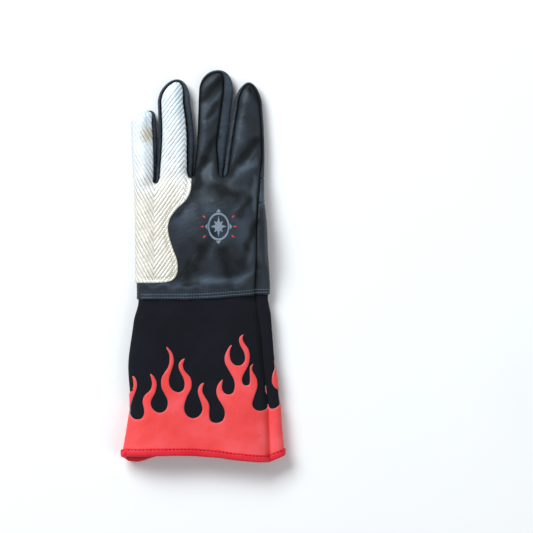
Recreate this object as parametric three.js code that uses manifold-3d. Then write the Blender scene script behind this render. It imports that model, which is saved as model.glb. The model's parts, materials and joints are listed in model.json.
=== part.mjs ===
// A gauntlet glove for fine welding, for the left hand. It lies on its palm, with the thumb folded
// under the hand. Millimetres: +Z is up, the fingers point along +Y and the little finger is at -X.
// The glove is one flattened skin of leather, worked out section by section. Each sewn piece is a
// stretch of that skin, thickened inwards, with a small gap at every seam.
import * as THREE from "three";
import { mergeVertices } from "three/addons/utils/BufferGeometryUtils.js";
import Module from "manifold-3d";

const wasm = await Module();
wasm.setup();

// Driving sizes of the hand and the gauntlet
const handLength = 105; // hem of the hand to the line of the finger forks
const palmWidth = 115;
const bodyThickness = 18; // of the flattened hand, over the leather
const cuffLength = 134;
const mouthWidth = 139;
const gussetWidth = 13; // side strip on the thumb's side
const shoulder = 24; // how far the rounded edge of the hand reaches in
const hemOverlap = 12; // how far the hand laps over the gauntlet
const hemRise = 4.3; // the hem is higher on the thumb's side
const tuckSlope = 15; // the gauntlet goes in under the hem over this length
const foldInset = 3; // the rounded edge on the little finger's side, in from the outline
const palmInset = 4; // the palm's seam, in from the outline

// Driving sizes of the fingers
const littleLength = 59;
const ringLength = 86;
const middleLength = 94;
const indexLength = 83.5;
const littleWidth = 21.7;
const ringWidth = 33.3;
const middleWidth = 27.4;
const indexWidth = 32.2;
const fingerThickness = 15;
const tipThickness = 11.5;
const fingerShoulder = 9;
const fingerGap = 0.7; // between fingers that lie side by side
const forkSlant = 3; // the fork starts this much further up on the palm's side
const forkRound = 5; // height over which a fork opens to its full width
const tipSeam = 2; // the seam round a fingertip, in from the outline
const fingerBlend = 14; // the hand's section turns into the fingers' over this

// Driving sizes of the thumb, which lies under the palm
const thumbLength = 84;
const thumbWidth = 30;
const thumbThickness = 13;
const thumbRootX = 39;
const thumbRootY = 12;
const thumbTurn = 13; // degrees from +Y towards -X
const thumbClearance = 0.9; // between the thumb and the palm above it
const thumbRoom = 1.5; // between the thumb's sides and the palm that comes down beside them
const palmFall = 9; // the palm comes down beside the thumb over this
const backFall = 38; // and the back over this

// Leather, trim and seams
const leather = 1.2;
const suede = 1.4;
const patchThickness = 1;
const flameThickness = 0.7;
const seamGap = 0.3;
const layGap = 0.3; // between a layer and what it lies on
const restRoom = 0.15; // the trim stays this clear of the surface that the glove lies on
const bindingWall = 0.9;
const bindingReach = 5.4; // how far the binding laps over the mouth's edge
const tuckRoom = 0.2; // more room for the gauntlet inside the hem
const patchBorder = 1.5; // leather left showing round the patch on the ring finger
const patchNotch = 2; // how far the gap between the patch's fingers goes in below their fork
const flameHeight = 107;

// How high a seam or an edge lies in a section, as a share of its thickness
const EDGE = { top: 0.72, middle: 0.46, bottom: 0.2, tipTop: 0.64, tipBottom: 0.3 };
const FINGER_INSET = 0.7; // the palm's seam on a finger, as a share of palmInset
const LIFT = 0.9; // how much of the thumb's thickness shows on the back

// The number of faces across and along each stretch of the skin
const ACROSS = [0, 0.2, 0.5, 0.8, 1]; // over one finger
const SIDE = [0, 0.25, 0.5, 0.75, 1]; // round a side, from the back's seam to the palm's
const STRAIGHT = [0, 0.1, 0.4, 0.7, 1]; // along a finger, from the fork to its rounded end
const ROUND = [0.3, 0.58, 0.82, 1]; // round the end of a finger, as a share of a quarter turn
const STOPS = [...STRAIGHT, ...ROUND.map((turn) => 1 + turn)];
const CROSS_SEAM = 0.79; // where the thumb's gusset ends, as a share of the way to the forks
const HAND_ROWS = [0, 0.06, 0.125, 0.26, 0.4, 0.54, 0.67, CROSS_SEAM, 0.9, 1];
const CUFF_ROWS = [0, 0.06, 0.2, 0.34, 0.48, 0.64, 0.88, 0.94, 1];

// Sections of the hand and the gauntlet. along is 0 at the hem, 1 at the forks and -1 at the mouth.
// left and right are shares of the way from the palm's half width to the mouth's. seam is a share
// of gussetWidth, thick of bodyThickness, round of shoulder and lift of the binding's depth.
const BODY = [
  { along: -1.0, left: 0.97, right: 1.0, seam: 1.02, thick: 1.18, round: 1.1, lift: 1 },
  { along: -0.94, left: 0.85, right: 0.97, seam: 1.0, thick: 1.15, round: 1.1, lift: 0.9 },
  { along: -0.8, left: 0.59, right: 0.83, seam: 0.92, thick: 1.08, round: 1.05, lift: 0.3 },
  { along: -0.68, left: 0.37, right: 0.74, seam: 0.88, thick: 1.04, round: 1, lift: 0 },
  { along: -0.42, left: 0.47, right: 0.4, seam: 0.83, thick: 1, round: 1, lift: 0 },
  { along: -0.2, left: 0.2, right: 0.2, seam: 0.8, thick: 0.96, round: 1, lift: 0 },
  { along: 0.0, left: 0.0, right: 0.04, seam: 0.96, thick: 0.97, round: 1, lift: 0 },
  { along: 0.15, left: 0, right: 0.04, seam: 0.97, thick: 1, round: 1, lift: 0 },
  { along: 0.4, left: 0, right: -0.1, seam: 0.75, thick: 1, round: 1, lift: 0 },
  { along: 0.62, left: 0.02, right: -0.18, seam: 0.66, thick: 1, round: 0.9, lift: 0 },
  { along: 0.84, left: 0.05, right: -0.36, seam: 0.41, thick: 0.95, round: 0.62, lift: 0 },
  { along: 1.0, left: 0.1, right: -0.37, seam: 0.28, thick: 0.88, round: 0.42, lift: 0 },
];

// Each finger with the fork beyond it. fork is a share of the palm's width and rise of the hand's
// length. splay, taper, apex, end and both seam columns are shares of the finger's width. curve is
// the power of the tip's outline: 2 is an ellipse, and less is more pointed.
const FINGERS = [
  {
    name: "little", length: littleLength, width: littleWidth, fork: 0.15, rise: -0.043,
    splay: 0, taper: 0.02, apex: 0.17, end: 0.52, curve: 2.1, backLeft: 0, backRight: 0.22,
  },
  {
    name: "ring", length: ringLength, width: ringWidth, fork: 0.444, rise: 0.019,
    splay: -0.01, taper: 0.05, apex: -0.02, end: 0.5, curve: 2, backLeft: 0.04, backRight: 0.165,
  },
  {
    name: "middle", length: middleLength, width: middleWidth, fork: 0.68, rise: 0.01,
    splay: 0.17, taper: 0.03, apex: 0.04, end: 0.58, curve: 2.2, backLeft: 0.07, backRight: 0.31,
  },
  {
    name: "index", length: indexLength, width: indexWidth, fork: 1, rise: 0,
    splay: -0.02, taper: 0.06, apex: 0.02, end: 0.66, curve: 1.75, backLeft: 0.11, backRight: 0.1,
  },
];
const LAST = FINGERS.length - 1;
const FORK_LEAN = 0.4; // how far the skin at a fork leans up or down at its two seams
const LEFT_ROOT_RISE = -0.038; // where the little finger leaves the edge, share of handLength
const FINGER_SHIFT = -0.032; // of the row of fingers to one side, share of palmWidth
const WIDE_STATION = 0.38; // share of middleLength where the fingers have their named widths
const TIP_STATION = 0.81; // share of middleLength where splay is reached
const THICK_STATION = 0.21; // share of middleLength up to which the fingers keep their thickness

// Folds of the back. x is a share of half the palm's width, y of the hand's length, and width and
// depth are shares of bodyThickness. A negative depth is a ridge.
const FOLDS = [
  { name: "palm_long", x1: 0.08, y1: 0.56, x2: -0.34, y2: 0.18, width: 0.3, depth: 0.12 },
  { name: "gusset_side", x1: 0.77, y1: 0.58, x2: 0.56, y2: 0.31, width: 0.28, depth: 0.12 },
  { name: "wrist_short", x1: 0.33, y1: 0.38, x2: 0.52, y2: 0.2, width: 0.25, depth: 0.09 },
  { name: "under_forks", x1: 0.08, y1: 0.96, x2: 0.52, y2: 0.82, width: 0.34, depth: 0.09 },
  { name: "index_root", x1: 0.84, y1: 1.33, x2: 0.4, y2: 1.06, width: 0.25, depth: 0.13 },
  { name: "middle_root", x1: 0.25, y1: 1.34, x2: -0.04, y2: 0.99, width: 0.28, depth: 0.1 },
  { name: "hem_ridge", x1: -0.95, y1: 0.125, x2: 0.55, y2: 0.135, width: 0.2, depth: -0.07 },
];

// The mouth's edge, round the ring from the little finger's side over the back. rise is a share of
// cuffLength, towards the hand.
const MOUTH = [
  { along: 0, rise: 0.0 },
  { along: 0.2, rise: 0.001 },
  { along: 0.4, rise: -0.04 },
  { along: 0.46, rise: 0.006 },
  { along: 0.52, rise: 0.002 },
  { along: 0.81, rise: 0 },
  { along: 0.875, rise: -0.042 },
  { along: 0.93, rise: -0.015 },
  { along: 1, rise: 0.0 },
];

// Where the back, the thumb's side and the palm end on the way round a section
const ROUND_BACK = 0.4;
const ROUND_SIDE = 0.5;
const ROUND_PALM = 0.9;

// Outline of the heat patch over the hand, from the ring finger's fork to the wrist. x is a share
// of half the palm's width and y of the hand's length.
const PATCH_EDGE = [
  { x: -0.195, y: 1.0 },
  { x: -0.18, y: 0.93 },
  { x: -0.245, y: 0.855 },
  { x: -0.38, y: 0.77 },
  { x: -0.475, y: 0.69 },
  { x: -0.52, y: 0.6 },
  { x: -0.505, y: 0.53 },
  { x: -0.445, y: 0.42 },
  { x: -0.4, y: 0.33 },
  { x: -0.39, y: 0.25 },
  { x: -0.44, y: 0.175 },
  { x: -0.56, y: 0.142 },
  { x: -0.74, y: 0.134 },
];
const BEYOND = 1.3; // the patch and the flames are cut out past the outline, share of its width

// Flames along the gauntlet. x is a share of half the mouth's width and y of flameHeight above the
// mouth. Each row is one tongue: its two sides, its tip, and the round drop to its right.
const FLAMES = [
  {
    lowLeft: [-1, 0.502], highLeft: [-0.875, 0.545], tip: [-0.872, 0.635],
    highRight: [-0.82, 0.545], lowRight: [-0.885, 0.415], drop: [-0.815, 0.345, 0.088],
  },
  {
    lowLeft: [-0.7, 0.415], highLeft: [-0.61, 0.535], tip: [-0.64, 0.65],
    highRight: [-0.56, 0.55], lowRight: [-0.6, 0.445], drop: [-0.53, 0.408, 0.097],
  },
  {
    lowLeft: [-0.49, 0.555], highLeft: [-0.4, 0.715], tip: [-0.443, 0.87],
    highRight: [-0.355, 0.745], lowRight: [-0.395, 0.635], drop: [-0.32, 0.567, 0.094],
  },
  {
    lowLeft: [-0.28, 0.655], highLeft: [-0.305, 0.725], tip: [-0.222, 0.772],
    highRight: [-0.24, 0.685], lowRight: [-0.15, 0.565], drop: [-0.118, 0.367, 0.107],
  },
  {
    lowLeft: [-0.07, 0.465], highLeft: [-0.075, 0.525], tip: [0.01, 0.578],
    highRight: [-0.01, 0.5], lowRight: [0.06, 0.415], drop: [0.17, 0.324, 0.093],
  },
  {
    lowLeft: [0.15, 0.455], highLeft: [0.15, 0.525], tip: [0.242, 0.605],
    highRight: [0.228, 0.535], lowRight: [0.235, 0.52], drop: [0.308, 0.54, 0.074],
  },
  {
    lowLeft: [0.29, 0.715], highLeft: [0.255, 0.785], tip: [0.35, 0.887],
    highRight: [0.325, 0.82], lowRight: [0.325, 0.795], drop: [0.42, 0.791, 0.09],
  },
  {
    lowLeft: [0.46, 0.875], highLeft: [0.43, 0.925], tip: [0.49, 0.975],
    highRight: [0.475, 0.925], lowRight: [0.55, 0.825], drop: [0.525, 0.597, 0.046],
  },
  {
    lowLeft: [0.56, 0.675], highLeft: [0.565, 0.705], tip: [0.602, 0.732],
    highRight: [0.6, 0.685], lowRight: [0.64, 0.575], drop: [0.7, 0.412, 0.085],
  },
  {
    lowLeft: [0.775, 0.455], highLeft: [0.765, 0.52], tip: [0.776, 0.57],
    highRight: [0.815, 0.52], lowRight: [0.83, 0.46], drop: [0.885, 0.412, 0.07],
  },
  {
    lowLeft: [0.91, 0.51], highLeft: [0.861, 0.605], tip: [0.884, 0.735],
    highRight: [0.95, 0.635], lowRight: [0.98, 0.575], drop: [1.06, 0.415, 0.075],
  },
];
const FLAME_STEPS = 2; // straight steps in each curve of a flame

// The thumb's sections, along its straight stretch and round its end. The powers shape its outline
// and its section: 1 is an ellipse and less is squarer.
const THUMB_STRAIGHT = [0, 0.35, 0.65, 1];
const THUMB_ROUND = [0.3, 0.55, 0.78, 0.94];
const THUMB_END = 0.5; // length of the rounded end, share of thumbWidth
const THUMB_TIP = 0.5; // thickness at the very end, share of thumbThickness
const THUMB_POWERS = { end: 0.8, across: 0.7, up: 0.5 };
const THUMB_SIDES = 16;
const THUMB_RAISES = 0.4; // from this share of its length on, the thumb lifts the palm
const DROP_TURNS = [-1, -0.75, -0.5, -0.25, 0]; // round a flame's drop, in half turns

const clamp = (t) => Math.min(Math.max(t, 0), 1);
const mix = (a, b, t) => a + (b - a) * t;
const smooth = (t) => clamp(t) ** 2 * (3 - 2 * clamp(t));
const rounded = (t) => 1 - (1 - clamp(t)) ** 2.2;
const radians = THREE.MathUtils.degToRad;

// A smooth curve through one column of a table, against its column named along.
function follow(rows, column) {
  const at = rows.map((row) => row.along);
  const value = rows.map((row) => row[column]);
  const last = rows.length - 1;
  const slope = value.map((_, i) => {
    const before = Math.max(i - 1, 0);
    const after = Math.min(i + 1, last);
    return (value[after] - value[before]) / (at[after] - at[before]);
  });
  return (where) => {
    const s = Math.min(Math.max(where, at[0]), at[last]);
    let i = 0;
    while (i < last - 1 && s > at[i + 1]) i += 1;
    const span = at[i + 1] - at[i];
    const t = (s - at[i]) / span;
    return (
      value[i] * (1 + 2 * t) * (1 - t) ** 2 +
      slope[i] * span * t * (1 - t) ** 2 +
      value[i + 1] * (3 - 2 * t) * t ** 2 -
      slope[i + 1] * span * (1 - t) * t ** 2
    );
  };
}

function toSegment(x, y, x1, y1, x2, y2) {
  const length2 = (x2 - x1) ** 2 + (y2 - y1) ** 2;
  const t = clamp(((x - x1) * (x2 - x1) + (y - y1) * (y2 - y1)) / length2);
  return Math.hypot(x - mix(x1, x2, t), y - mix(y1, y2, t));
}

// Outline of the hand and the gauntlet, seen from above
const bodyShare = (y) => (y < 0 ? y / cuffLength : y / handLength);
const body = Object.fromEntries(
  ["left", "right", "seam", "thick", "round", "lift"].map((name) => {
    const curve = follow(BODY, name);
    return [name, (y) => curve(bodyShare(y))];
  }),
);
const leftEdge = (y) => -mix(palmWidth / 2, mouthWidth / 2, body.left(y));
const rightEdge = (y) => mix(palmWidth / 2, mouthWidth / 2, body.right(y));
const seamInset = (y) => gussetWidth * body.seam(y);
const hemLine = (x) => hemRise * smooth(x / (0.7 * palmWidth) + 0.2);

// The lines between fingers, seen from above, from each fork to beyond the tips
const forkLine = handLength;
const fingerRow = FINGERS.reduce((sum, finger) => sum + finger.width, 0);
const rootLeft = leftEdge(handLength);
const rootRight = rightEdge(handLength);
const LINES = [0, 1, 2, 3, 4].map((n) => {
  const finger = FINGERS[n - 1];
  const share = finger ? finger.fork : 0;
  const rise = finger ? finger.rise : LEFT_ROOT_RISE;
  const width = FINGERS.slice(0, n).reduce((sum, f) => sum + f.width, 0);
  const x = mix(rootLeft, rootRight, share);
  const y = forkLine + rise * handLength;
  const middle = FINGER_SHIFT * palmWidth - fingerRow / 2 + width;
  const tip = middle + (finger ? finger.splay * finger.width : 0);
  const rows = [
    { along: y, x },
    { along: forkLine + WIDE_STATION * middleLength, x: middle },
    { along: forkLine + TIP_STATION * middleLength, x: tip },
  ];
  return { x, y, at: follow(rows, "x") };
});

// How far a palm's or a back's fork has opened at this height above it
const opened = (y, line, slant) => smooth((y - line.y - slant) / forkRound);

// The two edges of a finger at one height. v is 0 at the fork, 1 where the rounded end begins and
// 2 at the tip. seams is back, palm or outline.
function fingerEdges(f, v, y, seams) {
  const finger = FINGERS[f];
  const [near, far] = [LINES[f], LINES[f + 1]];
  const slant = seams === "palm" ? forkSlant : 0;
  const openNear = f > 0 ? opened(y, near, slant) : 1;
  const openFar = f < LAST ? opened(y, far, slant) : 1;
  const end = finger.end * finger.width;
  const taper = finger.taper * finger.width * clamp((y - forkLine) / (finger.length - end)) ** 2;
  const side = {
    back: [
      f > 0 ? finger.backLeft * finger.width : foldInset,
      f < LAST ? finger.backRight * finger.width : seamInset(forkLine),
    ],
    palm: [FINGER_INSET * palmInset, FINGER_INSET * palmInset],
    outline: [0, 0],
  }[seams];
  if (seams === "palm" && f === 0) side[0] = mix(palmInset, side[0], smooth(v));
  if (seams === "palm" && f === LAST) side[1] = mix(palmInset, side[1], smooth(v));
  const gap = fingerGap / 2;
  return {
    left: near.at(y) + (side[0] + (f > 0 ? gap : 0)) * openNear + taper * openNear,
    right: far.at(y) - (side[1] + (f < LAST ? gap : 0)) * openFar - taper * openFar,
  };
}

// A point of a finger seen from above. u is 0 at its left seam and 1 at its right.
function fingerPlan(f, v, u, seams) {
  const finger = FINGERS[f];
  const end = finger.end * finger.width;
  const endLine = forkLine + finger.length - end;
  const slant = seams === "palm" ? forkSlant : 0;
  const rootY = mix(
    LINES[f].y + (f > 0 ? slant : 0),
    LINES[f + 1].y + (f < LAST ? slant : 0),
    smooth(u),
  );
  if (v <= 1) {
    const y = mix(rootY, endLine, v);
    const edges = fingerEdges(f, v, y, seams);
    return { x: mix(edges.left, edges.right, u), y };
  }
  const turn = ((v - 1) * Math.PI) / 2;
  const narrow = v < 2 ? Math.cos(turn) ** (2 / finger.curve) : 0;
  const reach = Math.sin(turn) ** (2 / finger.curve);
  const edges = fingerEdges(f, 1, endLine, seams);
  const centre = (edges.left + edges.right) / 2;
  const outline = fingerEdges(f, 1, endLine, "outline");
  const apex = (outline.left + outline.right) / 2 + finger.apex * finger.width;
  const axis = mix(centre, apex, Math.sin(turn) ** 2);
  const inset = seams === "outline" ? 0 : tipSeam;
  return {
    x: axis + (u - 0.5) * (edges.right - edges.left) * narrow,
    y: endLine + (end - inset) * reach,
  };
}

// The thumb's axis under the palm, seen from above
const thumbWay = { x: -Math.sin(radians(thumbTurn)), y: Math.cos(radians(thumbTurn)) };
const thumbAt = (length) => ({
  x: thumbRootX + thumbWay.x * length,
  y: thumbRootY + thumbWay.y * length,
});
const raisedFrom = thumbAt(THUMB_RAISES * thumbLength);
const raisedTo = thumbAt(thumbLength - THUMB_END * thumbWidth);
const toThumb = (x, y) =>
  toSegment(x, y, raisedFrom.x, raisedFrom.y, raisedTo.x, raisedTo.y);

// The lowest and the highest that the skin reaches above a point
function low(x, y) {
  const away = toThumb(x, y) - (thumbWidth / 2 + thumbRoom);
  const raised = (thumbThickness + thumbClearance) * (1 - smooth(away / palmFall));
  const layers = layGap + flameThickness + restRoom;
  const binding = layGap + bindingWall;
  return raised + smooth((hemRise - y) / tuckSlope) * layers + body.lift(y) * binding;
}

const onFinger = (y) => smooth((y - forkLine) / fingerBlend);

function fingerDepth(y) {
  const even = THICK_STATION * middleLength;
  return mix(fingerThickness, tipThickness, clamp((y - forkLine - even) / (middleLength - even)));
}

function high(x, y) {
  const away = toThumb(x, y) - thumbWidth / 4;
  const raised = LIFT * thumbThickness * (1 - smooth(away / backFall));
  return raised + mix(body.thick(y) * bodyThickness, fingerDepth(y), onFinger(y));
}
const level = (x, y, share) => mix(low(x, y), high(x, y), share);

// Distance in plan from a point to the seams of the back or the palm
function seamLines(seams) {
  const lines = [];
  const join = (points) =>
    points.slice(1).forEach((p, i) => lines.push([points[i].x, points[i].y, p.x, p.y]));
  FINGERS.forEach((_, f) => {
    for (const u of [0, 1]) join(STOPS.map((v) => fingerPlan(f, v, u, seams)));
  });
  const stations = Array.from({ length: 21 }, (_, n) => n / 10 - 1.05);
  const heights = stations.map((s) => (s < 0 ? s * cuffLength : s * handLength));
  for (const side of [0, 1]) {
    join([
      ...heights.map((y) => ({ x: bodyEdges(y, seams)[side], y })),
      fingerPlan(side ? LAST : 0, 0, side, seams),
    ]);
  }
  return lines;
}

function bodyEdges(y, seams) {
  const inset = {
    back: [foldInset, seamInset(y)],
    palm: [palmInset, palmInset],
    outline: [0, 0],
  }[seams];
  return [leftEdge(y) + inset[0], rightEdge(y) - inset[1]];
}
const SEAMS = { back: seamLines("back"), palm: seamLines("palm") };
const toSeam = (x, y, seams) =>
  Math.min(...SEAMS[seams].map((line) => toSegment(x, y, ...line)));

function foldDepth(x, y, folds) {
  const half = palmWidth / 2;
  return folds.reduce((sum, fold) => {
    const away = toSegment(
      x, y, fold.x1 * half, fold.y1 * handLength, fold.x2 * half, fold.y2 * handLength,
    );
    return sum + fold.depth * bodyThickness * Math.exp(-((away / (fold.width * bodyThickness)) ** 2));
  }, 0);
}

// The share of the skin's height at a seam, lower and higher round a fingertip
function edgeShare(seams, v) {
  const round = smooth(v - 1);
  return seams === "back"
    ? mix(EDGE.top, EDGE.tipTop, round)
    : mix(EDGE.bottom, EDGE.tipBottom, round);
}

function onSkin(plan, seams, v = 0, folds = FOLDS) {
  const { x, y } = plan;
  const reach = mix(body.round(y) * shoulder, fingerShoulder, onFinger(y));
  const rise = rounded(toSeam(x, y, seams) / reach);
  const edge = edgeShare(seams, v);
  if (seams === "palm") return new THREE.Vector3(x, y, level(x, y, edge * (1 - rise)));
  return new THREE.Vector3(x, y, level(x, y, mix(edge, 1, rise)) - foldDepth(x, y, folds) * rise);
}

// Points round one side of a section, from the back's seam past the outline to the palm's seam
function roundSide(top, outline, bottom) {
  const middle = new THREE.Vector3(
    outline.x, outline.y, level(outline.x, outline.y, EDGE.middle),
  );
  return SIDE.map((share) => {
    const turn = Math.min(share, 1 - share) * Math.PI;
    const seam = share < 0.5 ? top : bottom;
    const point = seam.clone().lerp(middle, Math.sin(turn));
    point.z = mix(middle.z, seam.z, Math.cos(turn));
    return point;
  });
}

function fingerRing(f, v) {
  const back = ACROSS.map((u) => onSkin(fingerPlan(f, v, u, "back"), "back", v));
  const palm = ACROSS.map((u) => onSkin(fingerPlan(f, v, u, "palm"), "palm", v));
  const side = (u) => {
    const fork = v === 0 && (u ? f < LAST : f > 0);
    const outline = fork
      ? { x: LINES[f + u].x, y: LINES[f + u].y + forkSlant / 2 }
      : fingerPlan(f, v, u, "outline");
    return roundSide(back.at(u ? -1 : 0), outline, palm.at(u ? -1 : 0));
  };
  const [left, right] = [side(0), side(1)];
  return { back, right, palm: palm.reverse(), left: left.reverse() };
}

// One row across the hand or the gauntlet. The columns go on from those of the fingers.
const ROOT = { back: [], palm: [] };
for (const seams of ["back", "palm"]) {
  FINGERS.forEach((_, f) => {
    ACROSS.forEach((u, i) => {
      if (f === 0 || i > 0) ROOT[seams].push(fingerPlan(f, 0, u, seams));
    });
  });
}

function bodyRow(lineY, seams, share) {
  const root = ROOT[seams];
  const [first, last] = [root[0].x, root.at(-1).x];
  return root.map((point) => {
    const across = (point.x - first) / (last - first);
    const y = mix(lineY(across), point.y, share);
    const [left, right] = bodyEdges(y, seams);
    return { x: share === 1 ? point.x : mix(left, right, across), y };
  });
}

function bodyRing(lineY, share, folds) {
  const row = (seams, line) => bodyRow(line, seams, share).map((p) => onSkin(p, seams, 0, folds));
  const back = row("back", (across) => lineY(mix(0, ROUND_BACK, across)));
  const palm = row("palm", (across) => lineY(mix(ROUND_PALM, ROUND_SIDE, across)));
  const side = (n, around) => {
    const end = fingerPlan(n ? LAST : 0, 0, n, "outline");
    const y = mix(lineY(around), end.y, share);
    const edge = { x: n ? rightEdge(y) : leftEdge(y), y };
    const at = n ? -1 : 0;
    return roundSide(back.at(at), share === 1 ? end : edge, palm.at(at));
  };
  const [left, right] = [side(0, (ROUND_PALM + 1) / 2), side(1, (ROUND_BACK + ROUND_SIDE) / 2)];
  return { back, right, palm: palm.reverse(), left: left.reverse() };
}

// The skin: welded points, and faces that each carry the name of a sewn piece
class Skin {
  constructor() {
    this.points = [];
    this.faces = [];
    this.known = new Map();
    this.turns = new Map();
  }

  weld(point) {
    const key = [point.x, point.y, point.z].map((n) => Math.round(n * 1000)).join();
    if (!this.known.has(key)) {
      this.known.set(key, this.points.length);
      this.points.push(point.clone());
    }
    return this.known.get(key);
  }

  // Faces between rows of points. Rows run towards the fingertips and points clockwise, seen
  // from the mouth's far side, so every face looks outwards.
  sheet(rows, name) {
    const ids = rows.map((row) => row.map((point) => this.weld(point)));
    for (let i = 0; i + 1 < ids.length; i += 1) {
      for (let k = 0; k + 1 < ids[i].length; k += 1) {
        const corners = [ids[i][k], ids[i][k + 1], ids[i + 1][k + 1], ids[i + 1][k]];
        const face = corners.filter((id, n) => id !== corners[(n + 1) % 4]);
        if (face.length > 2) this.faces.push({ face, name });
      }
    }
  }

  // Edges of some faces that no other of them shares, each with its face's direction
  rim(faces) {
    const edges = new Map();
    for (const face of faces) {
      face.forEach((id, n) => {
        const next = face[(n + 1) % face.length];
        if (!edges.delete(`${next},${id}`)) edges.set(`${id},${next}`, [id, next]);
      });
    }
    return [...edges.values()];
  }

  normals() {
    const sums = this.points.map(() => new THREE.Vector3());
    for (const { face } of this.faces) {
      const [a, b, c, d = a] = face.map((id) => this.points[id]);
      const normal = c.clone().sub(a).cross(d.clone().sub(b));
      for (const id of face) sums[id].add(normal);
    }
    return sums.map((sum, id) => (this.turns.get(id) ?? sum).normalize());
  }
}

function solid(points, triangles) {
  const mesh = new wasm.Mesh({
    numProp: 3,
    vertProperties: new Float32Array(points.flatMap((p) => [p.x, p.y, p.z])),
    triVerts: new Uint32Array(triangles.flat()),
  });
  return new wasm.Manifold(mesh);
}

const fan = (face) => face.slice(2).map((id, i) => [face[0], face[i + 1], id]);

// The closed solid between two offsets of some faces of the skin, drawn in a little at its edges.
function layer(skin, wanted, outside, inside) {
  const faces = skin.faces.filter(({ name }) => name === wanted).map(({ face }) => face);
  const normals = skin.normals();
  const rim = skin.rim(faces);
  const pull = new Map();
  for (const [id, next] of rim) {
    const way = skin.points[next].clone().sub(skin.points[id]).normalize();
    const normal = normals[id].clone().add(normals[next]).normalize();
    const inward = normal.cross(way).normalize();
    for (const corner of [id, next]) {
      if (!pull.has(corner)) pull.set(corner, []);
      pull.get(corner).push(inward);
    }
  }
  const used = [...new Set(faces.flat())];
  const index = new Map(used.map((id, n) => [id, n]));
  const moved = used.map((id) => {
    const point = skin.points[id].clone();
    const ways = pull.get(id);
    if (ways) {
      const sum = ways.reduce((total, way) => total.add(way), new THREE.Vector3());
      const spread = Math.max(sum.lengthSq() / ways.length, 0.5);
      point.addScaledVector(sum, seamGap / 2 / spread);
    }
    return point;
  });
  const shell = (offset) =>
    moved.map((point, n) => point.clone().addScaledVector(normals[used[n]], offset));
  const count = used.length;
  const triangles = [];
  for (const [a, b, c] of faces.flatMap(fan)) {
    const [i, j, k] = [index.get(a), index.get(b), index.get(c)];
    triangles.push([i, j, k], [k + count, j + count, i + count]);
  }
  for (const [id, next] of rim) {
    const [a, b] = [index.get(id), index.get(next)];
    triangles.push([b, a, a + count], [b, a + count, b + count]);
  }
  return solid([...shell(outside), ...shell(inside)], triangles);
}

function closed(geometry) {
  const bare = geometry.clone();
  bare.deleteAttribute("normal");
  bare.deleteAttribute("uv");
  const merged = mergeVertices(bare, 1e-4);
  return new wasm.Manifold(
    new wasm.Mesh({
      numProp: 3,
      vertProperties: merged.attributes.position.array,
      triVerts: new Uint32Array(merged.index.array),
    }),
  );
}

const TALL = 3 * (bodyThickness + thumbThickness); // taller than the glove lies
function prism(points) {
  const shape = new THREE.Shape(points.map(([x, y]) => new THREE.Vector2(x, y)));
  const geometry = new THREE.ExtrudeGeometry(shape, { depth: TALL, bevelEnabled: false });
  return closed(geometry.translate(0, 0, -TALL / 2));
}

// Smooth curve through plan points
function curved(points, steps) {
  const places = points.map(([x, y]) => new THREE.Vector3(x, y, 0));
  const curve = new THREE.CatmullRomCurve3(places, false, "centripetal");
  return curve.getPoints(steps * (points.length - 1)).map((p) => [p.x, p.y]);
}

// Where a share of the way round a section lies across the hand
function ringX(around) {
  const half = palmWidth / 2;
  if (around < ROUND_BACK) return mix(-half, half - gussetWidth, around / ROUND_BACK);
  if (around < ROUND_SIDE) return half;
  return mix(half, -half, clamp((around - ROUND_SIDE) / (ROUND_PALM - ROUND_SIDE)));
}

// The hand's skin, with its four fingers
const FORK_NAMES = [0, 1, 2].map((n) => `fourchette_${FINGERS[n].name}_${FINGERS[n + 1].name}`);

// The skin doubles back at a fork, so there its outer side looks along the fingers
function turnAtFork(skin, fork) {
  fork.forEach((point, k) => {
    const up = FORK_LEAN * ((k === 0) - (k === fork.length - 1));
    skin.turns.set(skin.weld(point), new THREE.Vector3(0, 1, up));
  });
}

function handSkin() {
  const skin = new Skin();
  const crossSeam = HAND_ROWS.indexOf(CROSS_SEAM);
  const rings = HAND_ROWS.map((share) => bodyRing((around) => hemLine(ringX(around)), share));
  skin.sheet(rings.map((ring) => ring.back), "back_panel");
  skin.sheet(rings.map((ring) => ring.left), "back_panel");
  skin.sheet(rings.map((ring) => ring.palm), "palm_panel");
  skin.sheet(rings.slice(0, crossSeam + 1).map((ring) => ring.right), "thumb_gusset");
  skin.sheet(rings.slice(crossSeam).map((ring) => ring.right), "index_side");
  FINGERS.forEach((_, f) => {
    const around = STOPS.map((v) => fingerRing(f, v));
    if (f < LAST) turnAtFork(skin, around[0].right);
    skin.sheet(around.map((ring) => ring.back), "back_panel");
    skin.sheet(around.map((ring) => ring.palm), "palm_panel");
    skin.sheet(around.map((ring) => ring.right), f < LAST ? FORK_NAMES[f] : "index_side");
    skin.sheet(around.map((ring) => ring.left), f > 0 ? FORK_NAMES[f - 1] : "back_panel");
  });
  return skin;
}

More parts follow.
